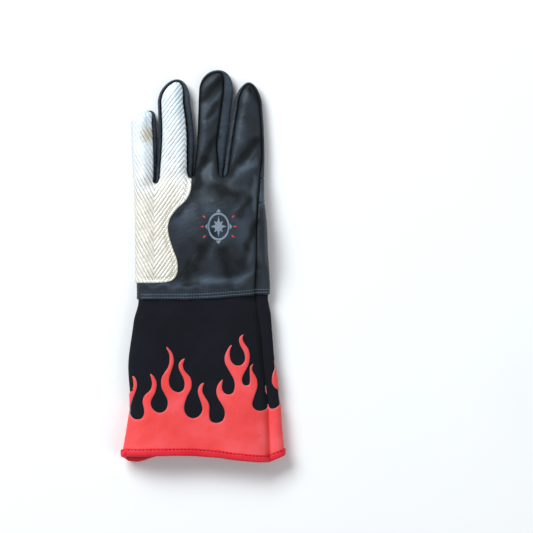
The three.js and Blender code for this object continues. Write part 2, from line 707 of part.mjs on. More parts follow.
// The gauntlet's skin. Under the hem it lies inside the hand.
const mouthRise = follow(MOUTH, "rise");
function cuffSkin() {
  const skin = new Skin();
  const creases = FOLDS.filter(({ depth }) => depth > 0);
  const rings = CUFF_ROWS.map((share) => {
    const line = (around) => {
      const mouth = (mouthRise(around) - 1) * cuffLength;
      return mix(mouth, hemLine(ringX(around)) + hemOverlap, share);
    };
    return bodyRing(line, 0, creases);
  });
  skin.sheet(rings.map((ring) => ring.back), "cuff_back");
  skin.sheet(rings.map((ring) => ring.left), "cuff_back");
  skin.sheet(rings.map((ring) => ring.palm), "cuff_palm");
  skin.sheet(rings.map((ring) => ring.right), "cuff_gusset");
  const normals = skin.normals();
  const under = leather + layGap + tuckRoom;
  skin.points.forEach((point, n) => {
    const tucked = smooth((point.y - hemLine(point.x)) / tuckSlope + 1.2);
    point.addScaledVector(normals[n], -under * tucked);
  });
  return { skin, mouth: rings.slice(0, 2) };
}

// The thumb as one closed solid, grown by an offset. It starts inside the hand, and its hollow, with
// a negative offset, starts before it.
function thumbSolid(grow) {
  const end = THUMB_END * thumbWidth;
  const straight = THUMB_STRAIGHT.map((s) => ({ at: s * (thumbLength - end), share: 1 }));
  const from = straight.at(-1).at;
  const round = THUMB_ROUND.map((turn) => ({
    at: mix(from, thumbLength + grow, Math.sin((turn * Math.PI) / 2)),
    share: Math.cos((turn * Math.PI) / 2) ** THUMB_POWERS.end,
  }));
  straight[0].at += 2 * grow;
  const rings = [...straight, ...round].map(({ at, share }) => {
    const centre = thumbAt(at);
    const half = Math.max((share * thumbWidth) / 2 + grow, leather);
    const tall = (mix(THUMB_TIP, 1, Math.sqrt(share)) * thumbThickness) / 2 + grow;
    return Array.from({ length: THUMB_SIDES }, (_, n) => {
      const turn = (2 * Math.PI * n) / THUMB_SIDES;
      const [c, s] = [Math.cos(turn), Math.sin(turn)];
      const across = Math.sign(c) * Math.abs(c) ** THUMB_POWERS.across * half;
      const up = Math.sign(s) * Math.abs(s) ** THUMB_POWERS.up * tall;
      return new THREE.Vector3(
        centre.x + thumbWay.y * across, centre.y - thumbWay.x * across, thumbThickness / 2 + up,
      );
    });
  });
  const ids = rings.map((ring, i) => ring.map((_, n) => i * THUMB_SIDES + n));
  const triangles = [...fan(ids[0]), ...fan([...ids.at(-1)].reverse())];
  for (let i = 0; i + 1 < ids.length; i += 1) {
    ids[i].forEach((a, n) => {
      const m = (n + 1) % THUMB_SIDES;
      triangles.push(...fan([ids[i][m], a, ids[i + 1][n], ids[i + 1][m]]));
    });
  }
  return solid(rings.flat(), triangles);
}

// A skin closed over its open end, grown by an offset
function filled(skin, grow) {
  const normals = skin.normals();
  const points = skin.points.map((point, n) => point.clone().addScaledVector(normals[n], grow));
  const rim = skin.rim(skin.faces.map(({ face }) => face));
  const centre = rim.reduce((sum, [id]) => sum.add(points[id]), new THREE.Vector3());
  points.push(centre.divideScalar(rim.length));
  const cap = rim.map(([id, next]) => [next, id, points.length - 1]);
  return solid(points, [...skin.faces.flatMap(({ face }) => fan(face)), ...cap]);
}

// Outline of the heat patch, which also goes round the edge on the little finger's side
function patchOutline() {
  const half = palmWidth / 2;
  const beyond = -BEYOND * half;
  const stops = STOPS.slice(1, -1);
  const inner = (f, u, border) => (v) => {
    const edge = fingerPlan(f, v, u, "back");
    const axis = fingerPlan(f, Math.min(v, 1), 0.5, "back");
    const away = Math.hypot(edge.x - axis.x, edge.y - axis.y);
    const share = 1 - border / away;
    return [mix(axis.x, edge.x, share), mix(axis.y, edge.y, share)];
  };
  const tip = littleLength + forkLine + tipSeam;
  const little = stops.map(inner(0, 1, seamGap));
  return [
    ...PATCH_EDGE.map(({ x, y }) => [x * half, y * handLength]).reverse(),
    ...stops.map(inner(1, 1, patchBorder)),
    ...stops.map(inner(1, 0, patchBorder)).reverse(),
    [LINES[1].x, LINES[1].y - patchNotch],
    ...little,
    [little.at(-1)[0], tip],
    [beyond, tip],
    [beyond, PATCH_EDGE.at(-1).y * handLength],
  ];
}

// Outline of the red panel: a smooth line from tongue to tongue, round each drop between them
function flameOutline(side) {
  const half = mouthWidth / 2;
  const place = ([x, y]) => [side * x * half, y * flameHeight - cuffLength];
  const edge = [place([-BEYOND, FLAMES[0].lowLeft[1]])];
  FLAMES.forEach((row, n) => {
    const next = FLAMES[n + 1];
    const [x, y, radius] = row.drop;
    const round = DROP_TURNS.map((turn) => {
      const [c, s] = [Math.cos(turn * Math.PI), Math.sin(turn * Math.PI)];
      return place([x + c * radius, y + (s * radius * half) / flameHeight]);
    });
    if (n === 0) edge.push(...[row.lowLeft, row.highLeft].map(place));
    const way = [row.tip, row.highRight, row.lowRight].map(place);
    const rest = next ? [next.lowLeft, next.highLeft, next.tip].map(place) : [];
    edge.push(...curved([...way, ...round, ...rest], FLAME_STEPS).slice(0, next ? -1 : undefined));
  });
  const last = FLAMES.at(-1).drop;
  const outline = [...edge, ...[[BEYOND, last[1]], [BEYOND, -1], [-BEYOND, -1]].map(place)];
  return side > 0 ? outline.reverse() : outline;
}

// The binding folds round the mouth's edge, over the leather and the flames
function bindingSolid(mouth) {
  const loop = (ring) => [ring.back, ring.right, ring.palm, ring.left].flatMap((row) => row.slice(1));
  const [edge, above] = mouth.map(loop);
  const outer = layGap + flameThickness + layGap + bindingWall;
  const inner = -(suede + layGap + bindingWall);
  const fold = layGap + bindingWall;
  const section = [
    [outer, bindingReach], [outer, 0], [mix(outer, inner, 0.2), -fold],
    [mix(outer, inner, 0.8), -fold], [inner, 0], [inner, bindingReach],
    [inner + bindingWall, bindingReach], [inner + bindingWall, -layGap],
    [outer - bindingWall, -layGap], [outer - bindingWall, bindingReach],
  ];
  const count = edge.length;
  const rings = edge.map((point, n) => {
    const along = above[n].clone().sub(point).normalize();
    const around = edge[(n + 1) % count].clone().sub(edge[(n + count - 1) % count]).normalize();
    const out = around.cross(along).normalize();
    return section.map(([away, up]) =>
      point.clone().addScaledVector(out, away).addScaledVector(along, up),
    );
  });
  const sides = section.length;
  const triangles = rings.flatMap((_, n) =>
    section.flatMap((_, k) => {
      const [m, j] = [(n + 1) % count, (k + 1) % sides];
      return fan([n * sides + k, n * sides + j, m * sides + j, m * sides + k]);
    }),
  );
  return solid(rings.flat(), triangles);
}

// Materials
const finish = (color, roughness, metalness = 0) =>
  new THREE.MeshStandardMaterial({ color, roughness, metalness });
const FINISHES = {
  grain: finish("#2b2d31", 0.5),
  suede: finish("#1c1e26", 0.95),
  aluminized: finish("#dcdcd6", 0.3, 0.6),
  red: finish("#e25050", 0.55),
  crimson: finish("#d83250", 0.5),
};

function mesh(name, made, finishName) {
  const { numProp, vertProperties, triVerts } = made.getMesh();
  const geometry = new THREE.BufferGeometry();
  geometry.setAttribute("position", new THREE.BufferAttribute(vertProperties, numProp));
  geometry.setIndex(new THREE.BufferAttribute(triVerts, 1));
  const piece = new THREE.Mesh(geometry, FINISHES[finishName]);
  piece.name = name;
  return piece;
}

// The whole glove
const hand = handSkin();
const { skin: cuff, mouth } = cuffSkin();
const patch = prism(patchOutline());
const flames = prism(flameOutline(1));
const palmFlames = prism(flameOutline(-1));
const handLayer = (name) => layer(hand, name, 0, -leather);
const cuffLayer = (name) => layer(cuff, name, 0, -suede);
const onCuff = (name) => layer(cuff, name, layGap + flameThickness, layGap);
const thumbHollow = thumbSolid(-leather);
const thumb = thumbSolid(0).subtract(thumbHollow).subtract(filled(hand, seamGap));
const palm = handLayer("palm_panel").subtract(thumbSolid(-leather - seamGap));
const heatPatch = layer(hand, "back_panel", layGap + patchThickness, layGap).intersect(patch);

const glove = new THREE.Group();
glove.add(
  mesh("back_panel", handLayer("back_panel"), "grain"),
  mesh("palm_panel", palm, "grain"),
  ...FORK_NAMES.map((name) => mesh(name, handLayer(name), "grain")),
  mesh("index_side", handLayer("index_side"), "grain"),
  mesh("thumb_gusset", handLayer("thumb_gusset"), "grain"),
  mesh("thumb", thumb, "grain"),
  mesh("heat_patch", heatPatch, "aluminized"),
  mesh("cuff_back", cuffLayer("cuff_back"), "suede"),
  mesh("cuff_palm", cuffLayer("cuff_palm"), "suede"),
  mesh("cuff_gusset", cuffLayer("cuff_gusset"), "suede"),
  mesh("flames_back", onCuff("cuff_back").intersect(flames), "red"),
  mesh("flames_palm", onCuff("cuff_palm").intersect(palmFlames), "red"),
  mesh("flames_gusset", onCuff("cuff_gusset").intersect(flames), "red"),
  mesh("cuff_binding", bindingSolid(mouth), "crimson"),
);

// The origin is under the middle of the whole glove, on the surface that it lies on
const reach = new THREE.Box3().setFromObject(glove);
const centre = reach.getCenter(new THREE.Vector3());
glove.position.set(-centre.x, -centre.y, -reach.min.z);
glove.updateMatrixWorld(true);

export default glove;
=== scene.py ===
import json
import math

import bpy
import numpy as np
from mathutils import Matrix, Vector
from mathutils.geometry import delaunay_2d_cdt
from mathutils.kdtree import KDTree

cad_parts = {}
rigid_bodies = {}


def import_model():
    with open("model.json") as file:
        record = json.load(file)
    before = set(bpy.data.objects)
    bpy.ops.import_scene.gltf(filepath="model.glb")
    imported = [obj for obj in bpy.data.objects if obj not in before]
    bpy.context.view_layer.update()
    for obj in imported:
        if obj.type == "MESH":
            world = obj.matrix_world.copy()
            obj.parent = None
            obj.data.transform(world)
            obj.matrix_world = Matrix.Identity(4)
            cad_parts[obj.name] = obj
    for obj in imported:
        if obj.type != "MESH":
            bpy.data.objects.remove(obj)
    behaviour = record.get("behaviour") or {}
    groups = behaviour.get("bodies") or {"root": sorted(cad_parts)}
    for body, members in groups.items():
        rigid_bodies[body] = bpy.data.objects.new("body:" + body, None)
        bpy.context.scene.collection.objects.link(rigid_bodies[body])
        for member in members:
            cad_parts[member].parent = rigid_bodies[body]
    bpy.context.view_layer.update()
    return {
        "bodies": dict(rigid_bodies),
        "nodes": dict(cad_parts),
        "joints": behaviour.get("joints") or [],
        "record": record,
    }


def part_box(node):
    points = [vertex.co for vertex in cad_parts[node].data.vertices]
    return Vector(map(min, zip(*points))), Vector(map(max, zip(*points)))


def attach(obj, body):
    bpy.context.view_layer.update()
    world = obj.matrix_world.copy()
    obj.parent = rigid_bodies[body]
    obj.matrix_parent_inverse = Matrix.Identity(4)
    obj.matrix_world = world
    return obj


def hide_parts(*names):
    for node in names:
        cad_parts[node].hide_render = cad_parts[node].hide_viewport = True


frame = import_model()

# The glove is worked out in millimetres in its own frame: the hem of the hand is at y = 0, the
# fingers point along +Y and the little finger is at -X. to_frame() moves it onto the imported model.

# Driving sizes of the hand and the gauntlet
HAND_LENGTH = 105.0
PALM_WIDTH = 115.0
BODY_THICKNESS = 18.0
CUFF_LENGTH = 134.0
MOUTH_WIDTH = 139.0
GUSSET_WIDTH = 13.0
SHOULDER = 24.0
HEM_OVERLAP = 12.0
HEM_RISE = 4.3
HEM_RUN = (0.2, 0.7)  # where the hem's rise begins, and the share of PALM_WIDTH that it takes
TUCK_SLOPE = 15.0
TUCK_START = 1.2  # below the hem, share of TUCK_SLOPE
FOLD_INSET = 3.0
PALM_INSET = 4.0
INDEX_INSET = 2.1  # of the back's seam along the index finger
INDEX_RUN = 3  # that inset is reached in one part of this many of the finger's straight part

# Driving sizes of the fingers
MIDDLE_LENGTH = 94.0
FINGER_THICKNESS = 15.0
TIP_THICKNESS = 11.5
FINGER_SHOULDER = 9.0
FINGER_GAP = 0.7
FORK_SLANT = 3.0
FORK_ROUND = 4.5
TIP_SEAM = 2.0
FINGER_BLEND = 14.0

# Driving sizes of the thumb, which lies under the palm
THUMB_LENGTH = 84.0
THUMB_WIDTH = 30.0
THUMB_THICKNESS = 13.0
THUMB_ROOT = (39.0, 12.0)
THUMB_TURN = math.radians(13)
THUMB_CLEARANCE = 0.9
THUMB_ROOM = 1.5
PALM_FALL = 9.0
BACK_FALL = 38.0

# Leather, trim and seams
LEATHER = 1.2
SUEDE = 1.4
PATCH_THICKNESS = 1.0
FLAME_THICKNESS = 0.7
SEAM_GAP = 0.3
LAY_GAP = 0.3
REST_ROOM = 0.15
BINDING_WALL = 0.9
BINDING_REACH = 5.4
TUCK_ROOM = 0.2
PATCH_BORDER = (1.3, 1.4)  # left and right of the ring finger
PATCH_NOTCH = (0.5, 2.4, 3.1)  # round the fork: shift across, shift along and radius

# Where the seams and the widest line lie between the palm's side and the back's, as shares
EDGE = {"top": 0.72, "middle": 0.46, "bottom": 0.2, "tip_top": 0.64, "tip_bottom": 0.3}
FINGER_INSET = 0.7  # of the palm's seams along a finger, share of PALM_INSET
LIFT = 0.9  # how much of the thumb's thickness shows as a rise of the back
CROSS_SEAM = 0.79  # where the thumb's gusset ends, share of HAND_LENGTH

# Rows of stitches: distances from the piece's edge, and how the leather dips along them
HEM_ROWS = (2.1, 4.7)
PATCH_ROWS = (2.7, 4.1)
ROW_WIDTH = 0.7
HEM_DIP = 0.28
PATCH_DIP = 0.3

# The seam on the thumb's side of the back lies in a groove, deeper along the gauntlet
GROOVE_WIDTH = 2.6
GROOVE_DEPTH = (1.1, 3.0)  # on the hand and on the gauntlet
GROOVE_CHANGE = 20.0  # below the hem, over which it deepens
GROOVE_END = 12.0  # below the forks, where it fades out
GUSSET_SWELL = 0.7  # of the strip beside it, share of the groove's depth

# Uneven leather: height, size and seed of each layer of bumps
HAND_BUMPS = ((0.30, 13, 3), (0.12, 5, 4), (0.05, 2.2, 5))
CUFF_BUMPS = ((0.25, 24, 8), (0.06, 7, 9))
THUMB_BUMPS = ((0.25, 11, 41), (0.1, 4, 42))
BINDING_BUMPS = ((0.12, 9, 31), (0.06, 3, 32))
BINDING_RISE = ((0.18, 14, 33),)
RELIEF_FADE = 4.0  # from a seam to where the small relief is whole
PALM_RELIEF = 0.5  # share of it on the palm, which lies on a table
STRIP_WRINKLES = 0.45  # depth of the wrinkles in the strips between the fingers
STRIP_WAVES = ((1, 0.35, 2.6, 51), (0.6, 0.3, 6, 61))  # their height, stretch across, size and seed
STRIP_RANGE = (-0.4, 1.5)  # what is kept of the waves' height
STRIP_FADE = 10.0  # above the forks, over which they set in

# Painted shade and painted highlights in the leather's colour, worked out with the strokes below
SEAM_SHADE = 1.3  # how far the painted shade along a seam reaches
SEAM_PAINTED_SHADE = (0.45, 0.9)  # how dark that painted shade is, on the hand and on the fingers
SHADE_FROM = 4.0  # height at which the seams' painted shade begins
TONE_FROM = 7.0  # height at which the strokes' painted shade and highlights begin
TONE_FADE = 3.0  # and over what height both set in
TONE_STRAY = (1.2, 9)  # how far a crease strays from its line, and over what length
TONE_END = 1.25  # how far along its line it ends, against half its length

# Sections of the hand and the gauntlet. along is 0 at the hem, 1 at the forks and -1 at the mouth.
BODY = [
    {"along": -1.0, "left": 0.97, "right": 1.0, "seam": 0.92, "thick": 1.18, "round": 1.1, "lift": 1},
    {"along": -0.94, "left": 0.85, "right": 0.97, "seam": 0.9, "thick": 1.15, "round": 1.1, "lift": 0.9},
    {"along": -0.8, "left": 0.59, "right": 0.83, "seam": 0.83, "thick": 1.08, "round": 1.05, "lift": 0.3},
    {"along": -0.68, "left": 0.43, "right": 0.74, "seam": 0.79, "thick": 1.04, "round": 1, "lift": 0},
    {"along": -0.42, "left": 0.6, "right": 0.4, "seam": 0.79, "thick": 1, "round": 1, "lift": 0},
    {"along": -0.2, "left": 0.3, "right": 0.2, "seam": 0.8, "thick": 0.96, "round": 1, "lift": 0},
    {"along": 0.0, "left": 0.0, "right": 0.04, "seam": 0.96, "thick": 0.97, "round": 1, "lift": 0},
    {"along": 0.15, "left": 0, "right": 0.04, "seam": 0.97, "thick": 1, "round": 1, "lift": 0},
    {"along": 0.4, "left": 0, "right": -0.1, "seam": 0.75, "thick": 1, "round": 1, "lift": 0},
    {"along": 0.62, "left": 0.02, "right": -0.18, "seam": 0.66, "thick": 1, "round": 0.9, "lift": 0},
    {"along": 0.84, "left": 0.05, "right": -0.36, "seam": 0.41, "thick": 0.95, "round": 0.62, "lift": 0},
    {"along": 1.0, "left": 0.1, "right": -0.37, "seam": 0.28, "thick": 0.88, "round": 0.42, "lift": 0},
]

# Each finger with the fork beyond it, lengths and widths in millimetres. fork is a share of the
# palm's width, rise of HAND_LENGTH, and the rest are shares of the finger's width, but for curve,
# a power, and open. taper narrows both edges towards the tip, apex moves the tip aside and end is
# the length of its round end. open says for both edges how much of the back's inset the round
# bottom of the fork takes, and over how many millimetres the rest follows.
FINGERS = [
    {"name": "little", "length": 59.0, "width": 21.7, "fork": 0.156, "rise": -0.043, "splay": -0.15,
     "taper": (0.02, 0.02), "apex": 0.17, "end": 0.52, "curve": 2.1, "back_left": 0, "back_right": 0.19,
     "open": ((1, 1), (0.53, 45))},
    {"name": "ring", "length": 86.0, "width": 33.3, "fork": 0.444, "rise": 0.019, "splay": -0.01,
     "taper": (0.055, 0.135), "apex": 0.08, "end": 0.62, "curve": 1.95,
     "back_left": 0.08, "back_right": 0.165,
     "open": ((1, 1), (0.75, 25))},
    {"name": "middle", "length": MIDDLE_LENGTH, "width": 27.4, "fork": 0.68, "rise": 0.01, "splay": 0.17,
     "taper": (0.09, -0.03), "apex": 0.05, "end": 0.7, "curve": 2.15,
     "back_left": 0.035, "back_right": 0.31,
     "open": ((1, 1), (0.4, 32))},
    {"name": "index", "length": 83.5, "width": 32.2, "fork": 1, "rise": 0, "splay": -0.02,
     "taper": (0.06, 0.06), "apex": 0.02, "end": 0.66, "curve": 1.75, "back_left": 0.11, "back_right": 0.1,
     "open": ((1, 1), (1, 1))},
]
LAST = len(FINGERS) - 1
FORK_LEAN = 0.4  # how far the skin at a fork leans up or down at its two seams
LEFT_ROOT_RISE = -0.038  # where the little finger leaves the edge, share of HAND_LENGTH
FINGER_SHIFT = -0.032  # of the row of fingers to one side, share of PALM_WIDTH
WIDE_STATION = 0.38  # share of MIDDLE_LENGTH where the fingers have their named widths
TIP_STATION = 0.81  # share of it where their splay is measured
THICK_STATION = 0.21  # share of it up to which they are FINGER_THICKNESS high

# Main folds of the back. x is a share of half the palm's width, y of the hand's length, and width
# and depth are shares of BODY_THICKNESS. A negative depth is a ridge.
FOLDS = [
    {"name": "palm_long", "x1": 0.08, "y1": 0.56, "x2": -0.34, "y2": 0.18, "width": 0.34, "depth": 0.1},
    {"name": "gusset_side", "x1": 0.77, "y1": 0.58, "x2": 0.56, "y2": 0.31, "width": 0.28, "depth": 0.12},
    {"name": "wrist_short", "x1": 0.33, "y1": 0.38, "x2": 0.52, "y2": 0.2, "width": 0.25, "depth": 0.09},
    {"name": "under_forks", "x1": 0.08, "y1": 0.96, "x2": 0.52, "y2": 0.82, "width": 0.34, "depth": 0.09},
    {"name": "index_root", "x1": 0.84, "y1": 1.33, "x2": 0.4, "y2": 1.06, "width": 0.25, "depth": 0.08},
    {"name": "middle_root", "x1": 0.25, "y1": 1.34, "x2": -0.04, "y2": 0.99, "width": 0.28, "depth": 0.1},
    {"name": "hem_ridge", "x1": -0.95, "y1": 0.125, "x2": 0.55, "y2": 0.135, "width": 0.2, "depth": -0.07},
]

# The mouth's edge, round the ring from the little finger's side over the back
MOUTH = [
    {"along": 0, "rise": 0.0}, {"along": 0.2, "rise": 0.001}, {"along": 0.4, "rise": -0.04},
    {"along": 0.46, "rise": 0.006}, {"along": 0.52, "rise": 0.002}, {"along": 0.81, "rise": 0},
    {"along": 0.875, "rise": -0.042}, {"along": 0.93, "rise": -0.015}, {"along": 1, "rise": 0.0},
]

# Where the back, the thumb's side and the palm end on the way round a section
ROUND_BACK = 0.4
ROUND_SIDE = 0.5
ROUND_PALM = 0.9
AROUND = ("back", "right", "palm", "left")  # the sheets of a ring, in order

# Outline of the heat patch over the hand, from the ring finger's fork to the wrist
PATCH_EDGE = [
    (-0.17, 0.991), (-0.181, 0.9), (-0.24, 0.826), (-0.384, 0.748), (-0.488, 0.67),
    (-0.522, 0.598), (-0.508, 0.527), (-0.449, 0.419), (-0.391, 0.334), (-0.377, 0.269),
    (-0.39, 0.213), (-0.436, 0.17), (-0.514, 0.148), (-0.735, 0.138),
]
PATCH_CORNER = [(-13.4, 107.2), (-12.9, 105.7), (-11.7, 104.6)]  # below the ring finger's fork

# The flames' upper edge over the back, from each tongue's tip to the next, in millimetres
FLAME_START = -78.9
FLAME_LINES = [
    [(-60.3, -76.9), (-59.6, -73.9), (-60.6, -66.1)],
    [(-60.6, -66.1), (-59.4, -66.6), (-57.7, -69.1), (-56.9, -73), (-57.2, -76.5), (-62.2, -90.3),
     (-62.9, -94.6), (-62.7, -98.5), (-61.1, -101.5), (-58.7, -103.2), (-56.1, -103.5), (-53.5, -103),
     (-51.4, -101.1), (-50.4, -98.1), (-50.4, -94.6), (-51.7, -88.6), (-51.3, -85.5), (-50.1, -83),
     (-45.3, -78.2), (-43.8, -74.7), (-43.7, -70.8), (-45.4, -64)],
    [(-45.4, -64), (-44, -64.6), (-42, -66.8), (-40.4, -70), (-39.8, -73.4), (-41.2, -80.3),
     (-44.2, -86), (-44.9, -89.4), (-44.1, -92.9), (-41.8, -95.7), (-38.8, -97.4), (-35.8, -97.6),
     (-32.9, -96.2), (-30.8, -93.3), (-30, -89.4), (-30.3, -86), (-35, -76.9), (-35.7, -73),
     (-35.6, -69.1), (-34.4, -65.5), (-30, -58.7), (-28.7, -54.8), (-28.4, -50.5), (-28.9, -46.6),
     (-31.2, -41.7), (-31.1, -40.7)],
    [(-31.1, -40.7), (-27.6, -44.4), (-25.8, -47.9), (-25.1, -51.8), (-25.4, -55.7), (-29, -67.4),
     (-29.2, -71.3), (-28.4, -74.7), (-26.7, -77.3), (-24.1, -79.2), (-21.1, -80.1), (-18.2, -79.2),
     (-16.2, -77), (-15.5, -73.9), (-15.8, -70), (-17, -66.5), (-19.9, -60.9), (-20.6, -58.3),
     (-20.4, -55.3), (-19.1, -53.1), (-17.2, -51.4), (-15.5, -51)],
    [(-15.5, -51), (-17.2, -55.7), (-16.8, -59.2), (-15.3, -62.2), (-11, -66.9), (-9.9, -70),
     (-9.7, -73.4), (-10.3, -77.3), (-13.3, -82.9), (-15.8, -90.3), (-16.1, -94.2), (-15.3, -97.6),
     (-13.1, -100.4), (-10.3, -102.1), (-7.2, -102.3), (-4, -101.1), (-1.4, -98.5), (-0.1, -95),
     (-0.5, -91.2), (-4, -80.3), (-3.7, -76.9), (-2.7, -74.5), (-1.1, -72.6), (1, -71.8)],
    [(1, -71.8), (-0.4, -77.3), (0.1, -80.8), (5, -89.3), (5.7, -92.9), (5.5, -98.5), (6.2, -103.5),
     (8.3, -105.7), (11.9, -106.4), (15.2, -105.7), (17.5, -104), (19.1, -100.2), (18.7, -94.2),
     (13.3, -85.1), (12.1, -81.2), (12, -77.3), (13.3, -73.4), (15.1, -70.8), (17.3, -68.9)],
    [(17.3, -68.9), (16.5, -74.7), (16.9, -78), (18.4, -80.4), (21.3, -81.8), (24.3, -81.6),
     (26.5, -79.9), (27.6, -76.9), (27.8, -73.4), (27.3, -70), (25.9, -66.5), (20, -56.1),
     (19.1, -52.7), (19.2, -48.8), (20.4, -45.3), (23.7, -39.9), (25.2, -39.1)],
    [(25.2, -39.1), (23.3, -44.4), (23.8, -51.4), (25.2, -54.2), (27.6, -56.4), (30.2, -57),
     (33, -56.6), (35.4, -54.7), (36.6, -51.8), (36.5, -48.3), (35.6, -44.9), (32.5, -39.3),
     (31.6, -36.2), (31.6, -33.5), (32.6, -31.5), (35.4, -30)],
    [(35.4, -30), (34.5, -31.6), (34.4, -34.3), (35.2, -36.7), (39, -42.3), (40.2, -46.2),
     (40.4, -50.3), (39.7, -54.8), (38.4, -58.3), (34.7, -65.2), (33.8, -68.7), (34.3, -72),
     (35.8, -73.9), (37.8, -74.1), (39.9, -73.5), (40.8, -71.3), (40.8, -59.2), (41.4, -57.4),
     (43.5, -55.4)],
    [(43.5, -55.4), (42.7, -57.9), (42.5, -60.9), (46.4, -68.2), (47, -72.1), (46.8, -76),
     (43.4, -86.4), (42.7, -89.9), (43.3, -92.7), (45.3, -94.9), (48.1, -96), (51.1, -96.1),
     (55.3, -94.2), (56.2, -90.3), (56.2, -85.5), (54.3, -79), (54.1, -74.5)],
    [(54.1, -74.5), (54.8, -75.6), (56, -81.6), (56.6, -90.7), (57.7, -94.1), (59.8, -95.8),
     (62.4, -96.3), (65, -95.8), (66.9, -94.3)],
]
# Where that edge goes on round the little finger's side: the share of the way round, and y
FLAME_LEFT = [(0, FLAME_START), (0.25, -79.4), (0.5, -80.6), (0.75, -87), (1, -94.3)]
# The last tongue, which stands on the thumb's side: plan points, and shares of the way round
FLAME_TONGUE = [
    [(63.5, -79.9), (61.5, -77.3), (60.1, -73.9), (60, -69.5), (60.7, -66.1), (62.2, -61.7),
     (62, -58.3), (61.5, -55.1)],
    [(61.5, -55.1), (62.8, -59.2)],
]
FLAME_UNDER = [
    [(0.6, -90.3), (0.62, -86), (0.53, -82.5)],
    [(0.56, -66.1), (0.62, -73.9), (0.66, -79.9), (0.7, -86.8), (0.74, -91.5), (0.78, -93.4),
     (0.84, -93), (0.88, -90.3), (0.95, -82.5), (1, -80.6)],
]
FLAME_DROP = (-56.5, -82)  # the drop left of and below here bulges into the little finger's side
FLAME_FOOT = -85  # the last run's points below here go on round the thumb's side
BEYOND = 90.0  # past either side of the glove

# Small creases that only the looks need, in millimetres: two ends, width and depth
CREASES = [
    (6, 58, -7, 40, 2.6, 0.28),
    (-7, 40, -20, 18, 2.2, 0.49),
    (22, 40, 28, 20, 2.4, 0.49),
    (46, 64, 37, 42, 2.0, 0.38),
    (37, 42, 32, 27, 1.8, 0.33),
    (30, 14, 45, 24, 1.3, -0.69),
    (-4, 102, -8, 90, 1.8, 0.28),
    (9, 99, 27, 89, 3.0, 0.33),
    (43, 88, 33, 74, 2.4, 0.33),
    (11, 140, 0, 123, 2.2, 0.38),
    (0, 123, -4, 110, 2.0, 0.38),
    (49, 135, 38, 121.5, 2.2, 0.43),
    (38, 121.5, 26, 106, 2.2, 0.4),
    (27, 123, 20.5, 109, 1.8, -0.25),
    (41, 182, 48, 170, 1.8, 0.89),
    (18, 189, 2, 171, 3.4, 0.42),
    (-49, 157, -43.5, 152, 1.8, 0.9),
    (-49, 150, -44.5, 146, 1.5, 0.6),
]

# Painted shade in the back's creases and valleys, and painted highlights on its ridges, as strokes:
# two ends, width and amount, which is negative for a highlight
PAINTED_SHADE_AND_HIGHLIGHTS = [
    (12, 61, 0, 43, 3.6, 0.7),
    (0, 43, -9.5, 28, 4.2, 0.9),
    (-9.5, 28, -17, 17, 3.8, 0.7),
    (17, 42, 23, 21.5, 6, 0.8),
    (46, 67, 38, 44.5, 3.1, 0.9),
    (38, 44.5, 33, 29, 3.3, 0.9),
    (-3.5, 107, -8.5, 89.5, 2.9, 0.8),
    (9, 98.5, 28, 89, 4.4, 0.75),
    (42.5, 89, 32, 72.5, 2.9, 0.6),
    (11.5, 140.5, 1, 122.5, 2.9, 0.7),
    (1, 122.5, -3.5, 110.5, 3.3, 1),
    (-3.5, 110.5, -7, 96.5, 2.9, 0.8),
    (48.5, 138.5, 36.4, 125, 3.8, 1),
    (36.4, 125, 24.3, 108, 3.6, 1),
    (17, 192, 0, 174, 3.6, 1),
    (12.5, 170.5, 3.6, 156.5, 2.6, 0.6),
    (40, 185, 49.5, 170, 2, 1),
    (20, 151, 20, 147.5, 4.4, 0.4),
    (-10.5, 86, -21.5, 75, 2.4, 0.5),
    (45.5, 105, 45.5, 79, 2.2, -0.56),
    (44, 181.5, 47, 175.5, 1.9, -0.56),
    (0, 16, 26, 17, 4.6, -0.46),
    (-45.5, 12, -2.5, 11, 1.8, -0.37),
    (29.5, 14.5, 45, 25, 3.2, -0.5),
    (34.5, 97.5, 40, 93, 4.6, -0.31),
    (-21.5, 65.5, -11, 76, 5.4, -0.28),
    (-2.5, 86, 9.5, 78.5, 5.4, -0.22),
    (7, 154.5, 13, 166, 2.2, -0.31),
    (17, 179.5, 5.5, 165.5, 2.2, -0.45),
    (-2, 169, 2, 153, 3, -0.3),
    (30.5, 153.5, 33, 136.5, 4.6, -0.22),
    (46, 120, 35.6, 113.8, 3.2, -0.4),
    (35.6, 113.8, 22.6, 100.4, 3.2, -0.35),
    (4.5, 116.5, 8, 103.5, 4.6, -0.22),
    (51, 90.5, 51, 81, 1.9, -0.43),
    (35.5, 32.5, 41, 51.5, 3, -0.22),
    (2.5, 32.5, 9.5, 46.5, 4.1, -0.19),
    (-5, 91, 35, 97, 10, 0.27),
    (-13, 20.5, 2.5, 34.5, 5, 0.35),
    (33, 75, 41, 36, 8, -0.3),
]

# The finest steps of the skin, in millimetres, and how many steps go round a side
STEP = 1.0
ROW_STEP = 1.05  # between rows that laid pieces follow
SIDE_STEPS = 12
TIP_STEPS = 24  # round the end of a finger
COLUMN_STEP = 1.3  # between columns of a finger
ROOT_FROM = 0.75  # share of the hand from which its rows turn into the fingers' roots
FORK_FADE = 0.12  # share of a finger over which a fork's slant fades out

ROUND_POWER = 2.2  # how round the skin turns into its seams
WAVES = 7  # that make up an uneven surface
WAVE_SIZES = (1.4, 2.6)  # their lengths, against the size of its bumps


def clamp(t):
    return np.clip(t, 0.0, 1.0)


def mix(a, b, t):
    return a + (b - a) * t


def smooth(t):
    return clamp(t) ** 2 * (3 - 2 * clamp(t))


def rounded(t):
    return 1 - (1 - clamp(t)) ** ROUND_POWER


def swept(t):
    """Like rounded, but upright where it begins."""
    return rounded(t) ** (1 / ROUND_POWER)


def eased(steps):
    """Shares from 0 to 1, close together at both ends."""
    return 0.5 - 0.5 * np.cos(np.linspace(0, np.pi, steps + 1))


def unit(vectors):
    return vectors / np.maximum(np.linalg.norm(vectors, axis=-1, keepdims=True), 1e-9)


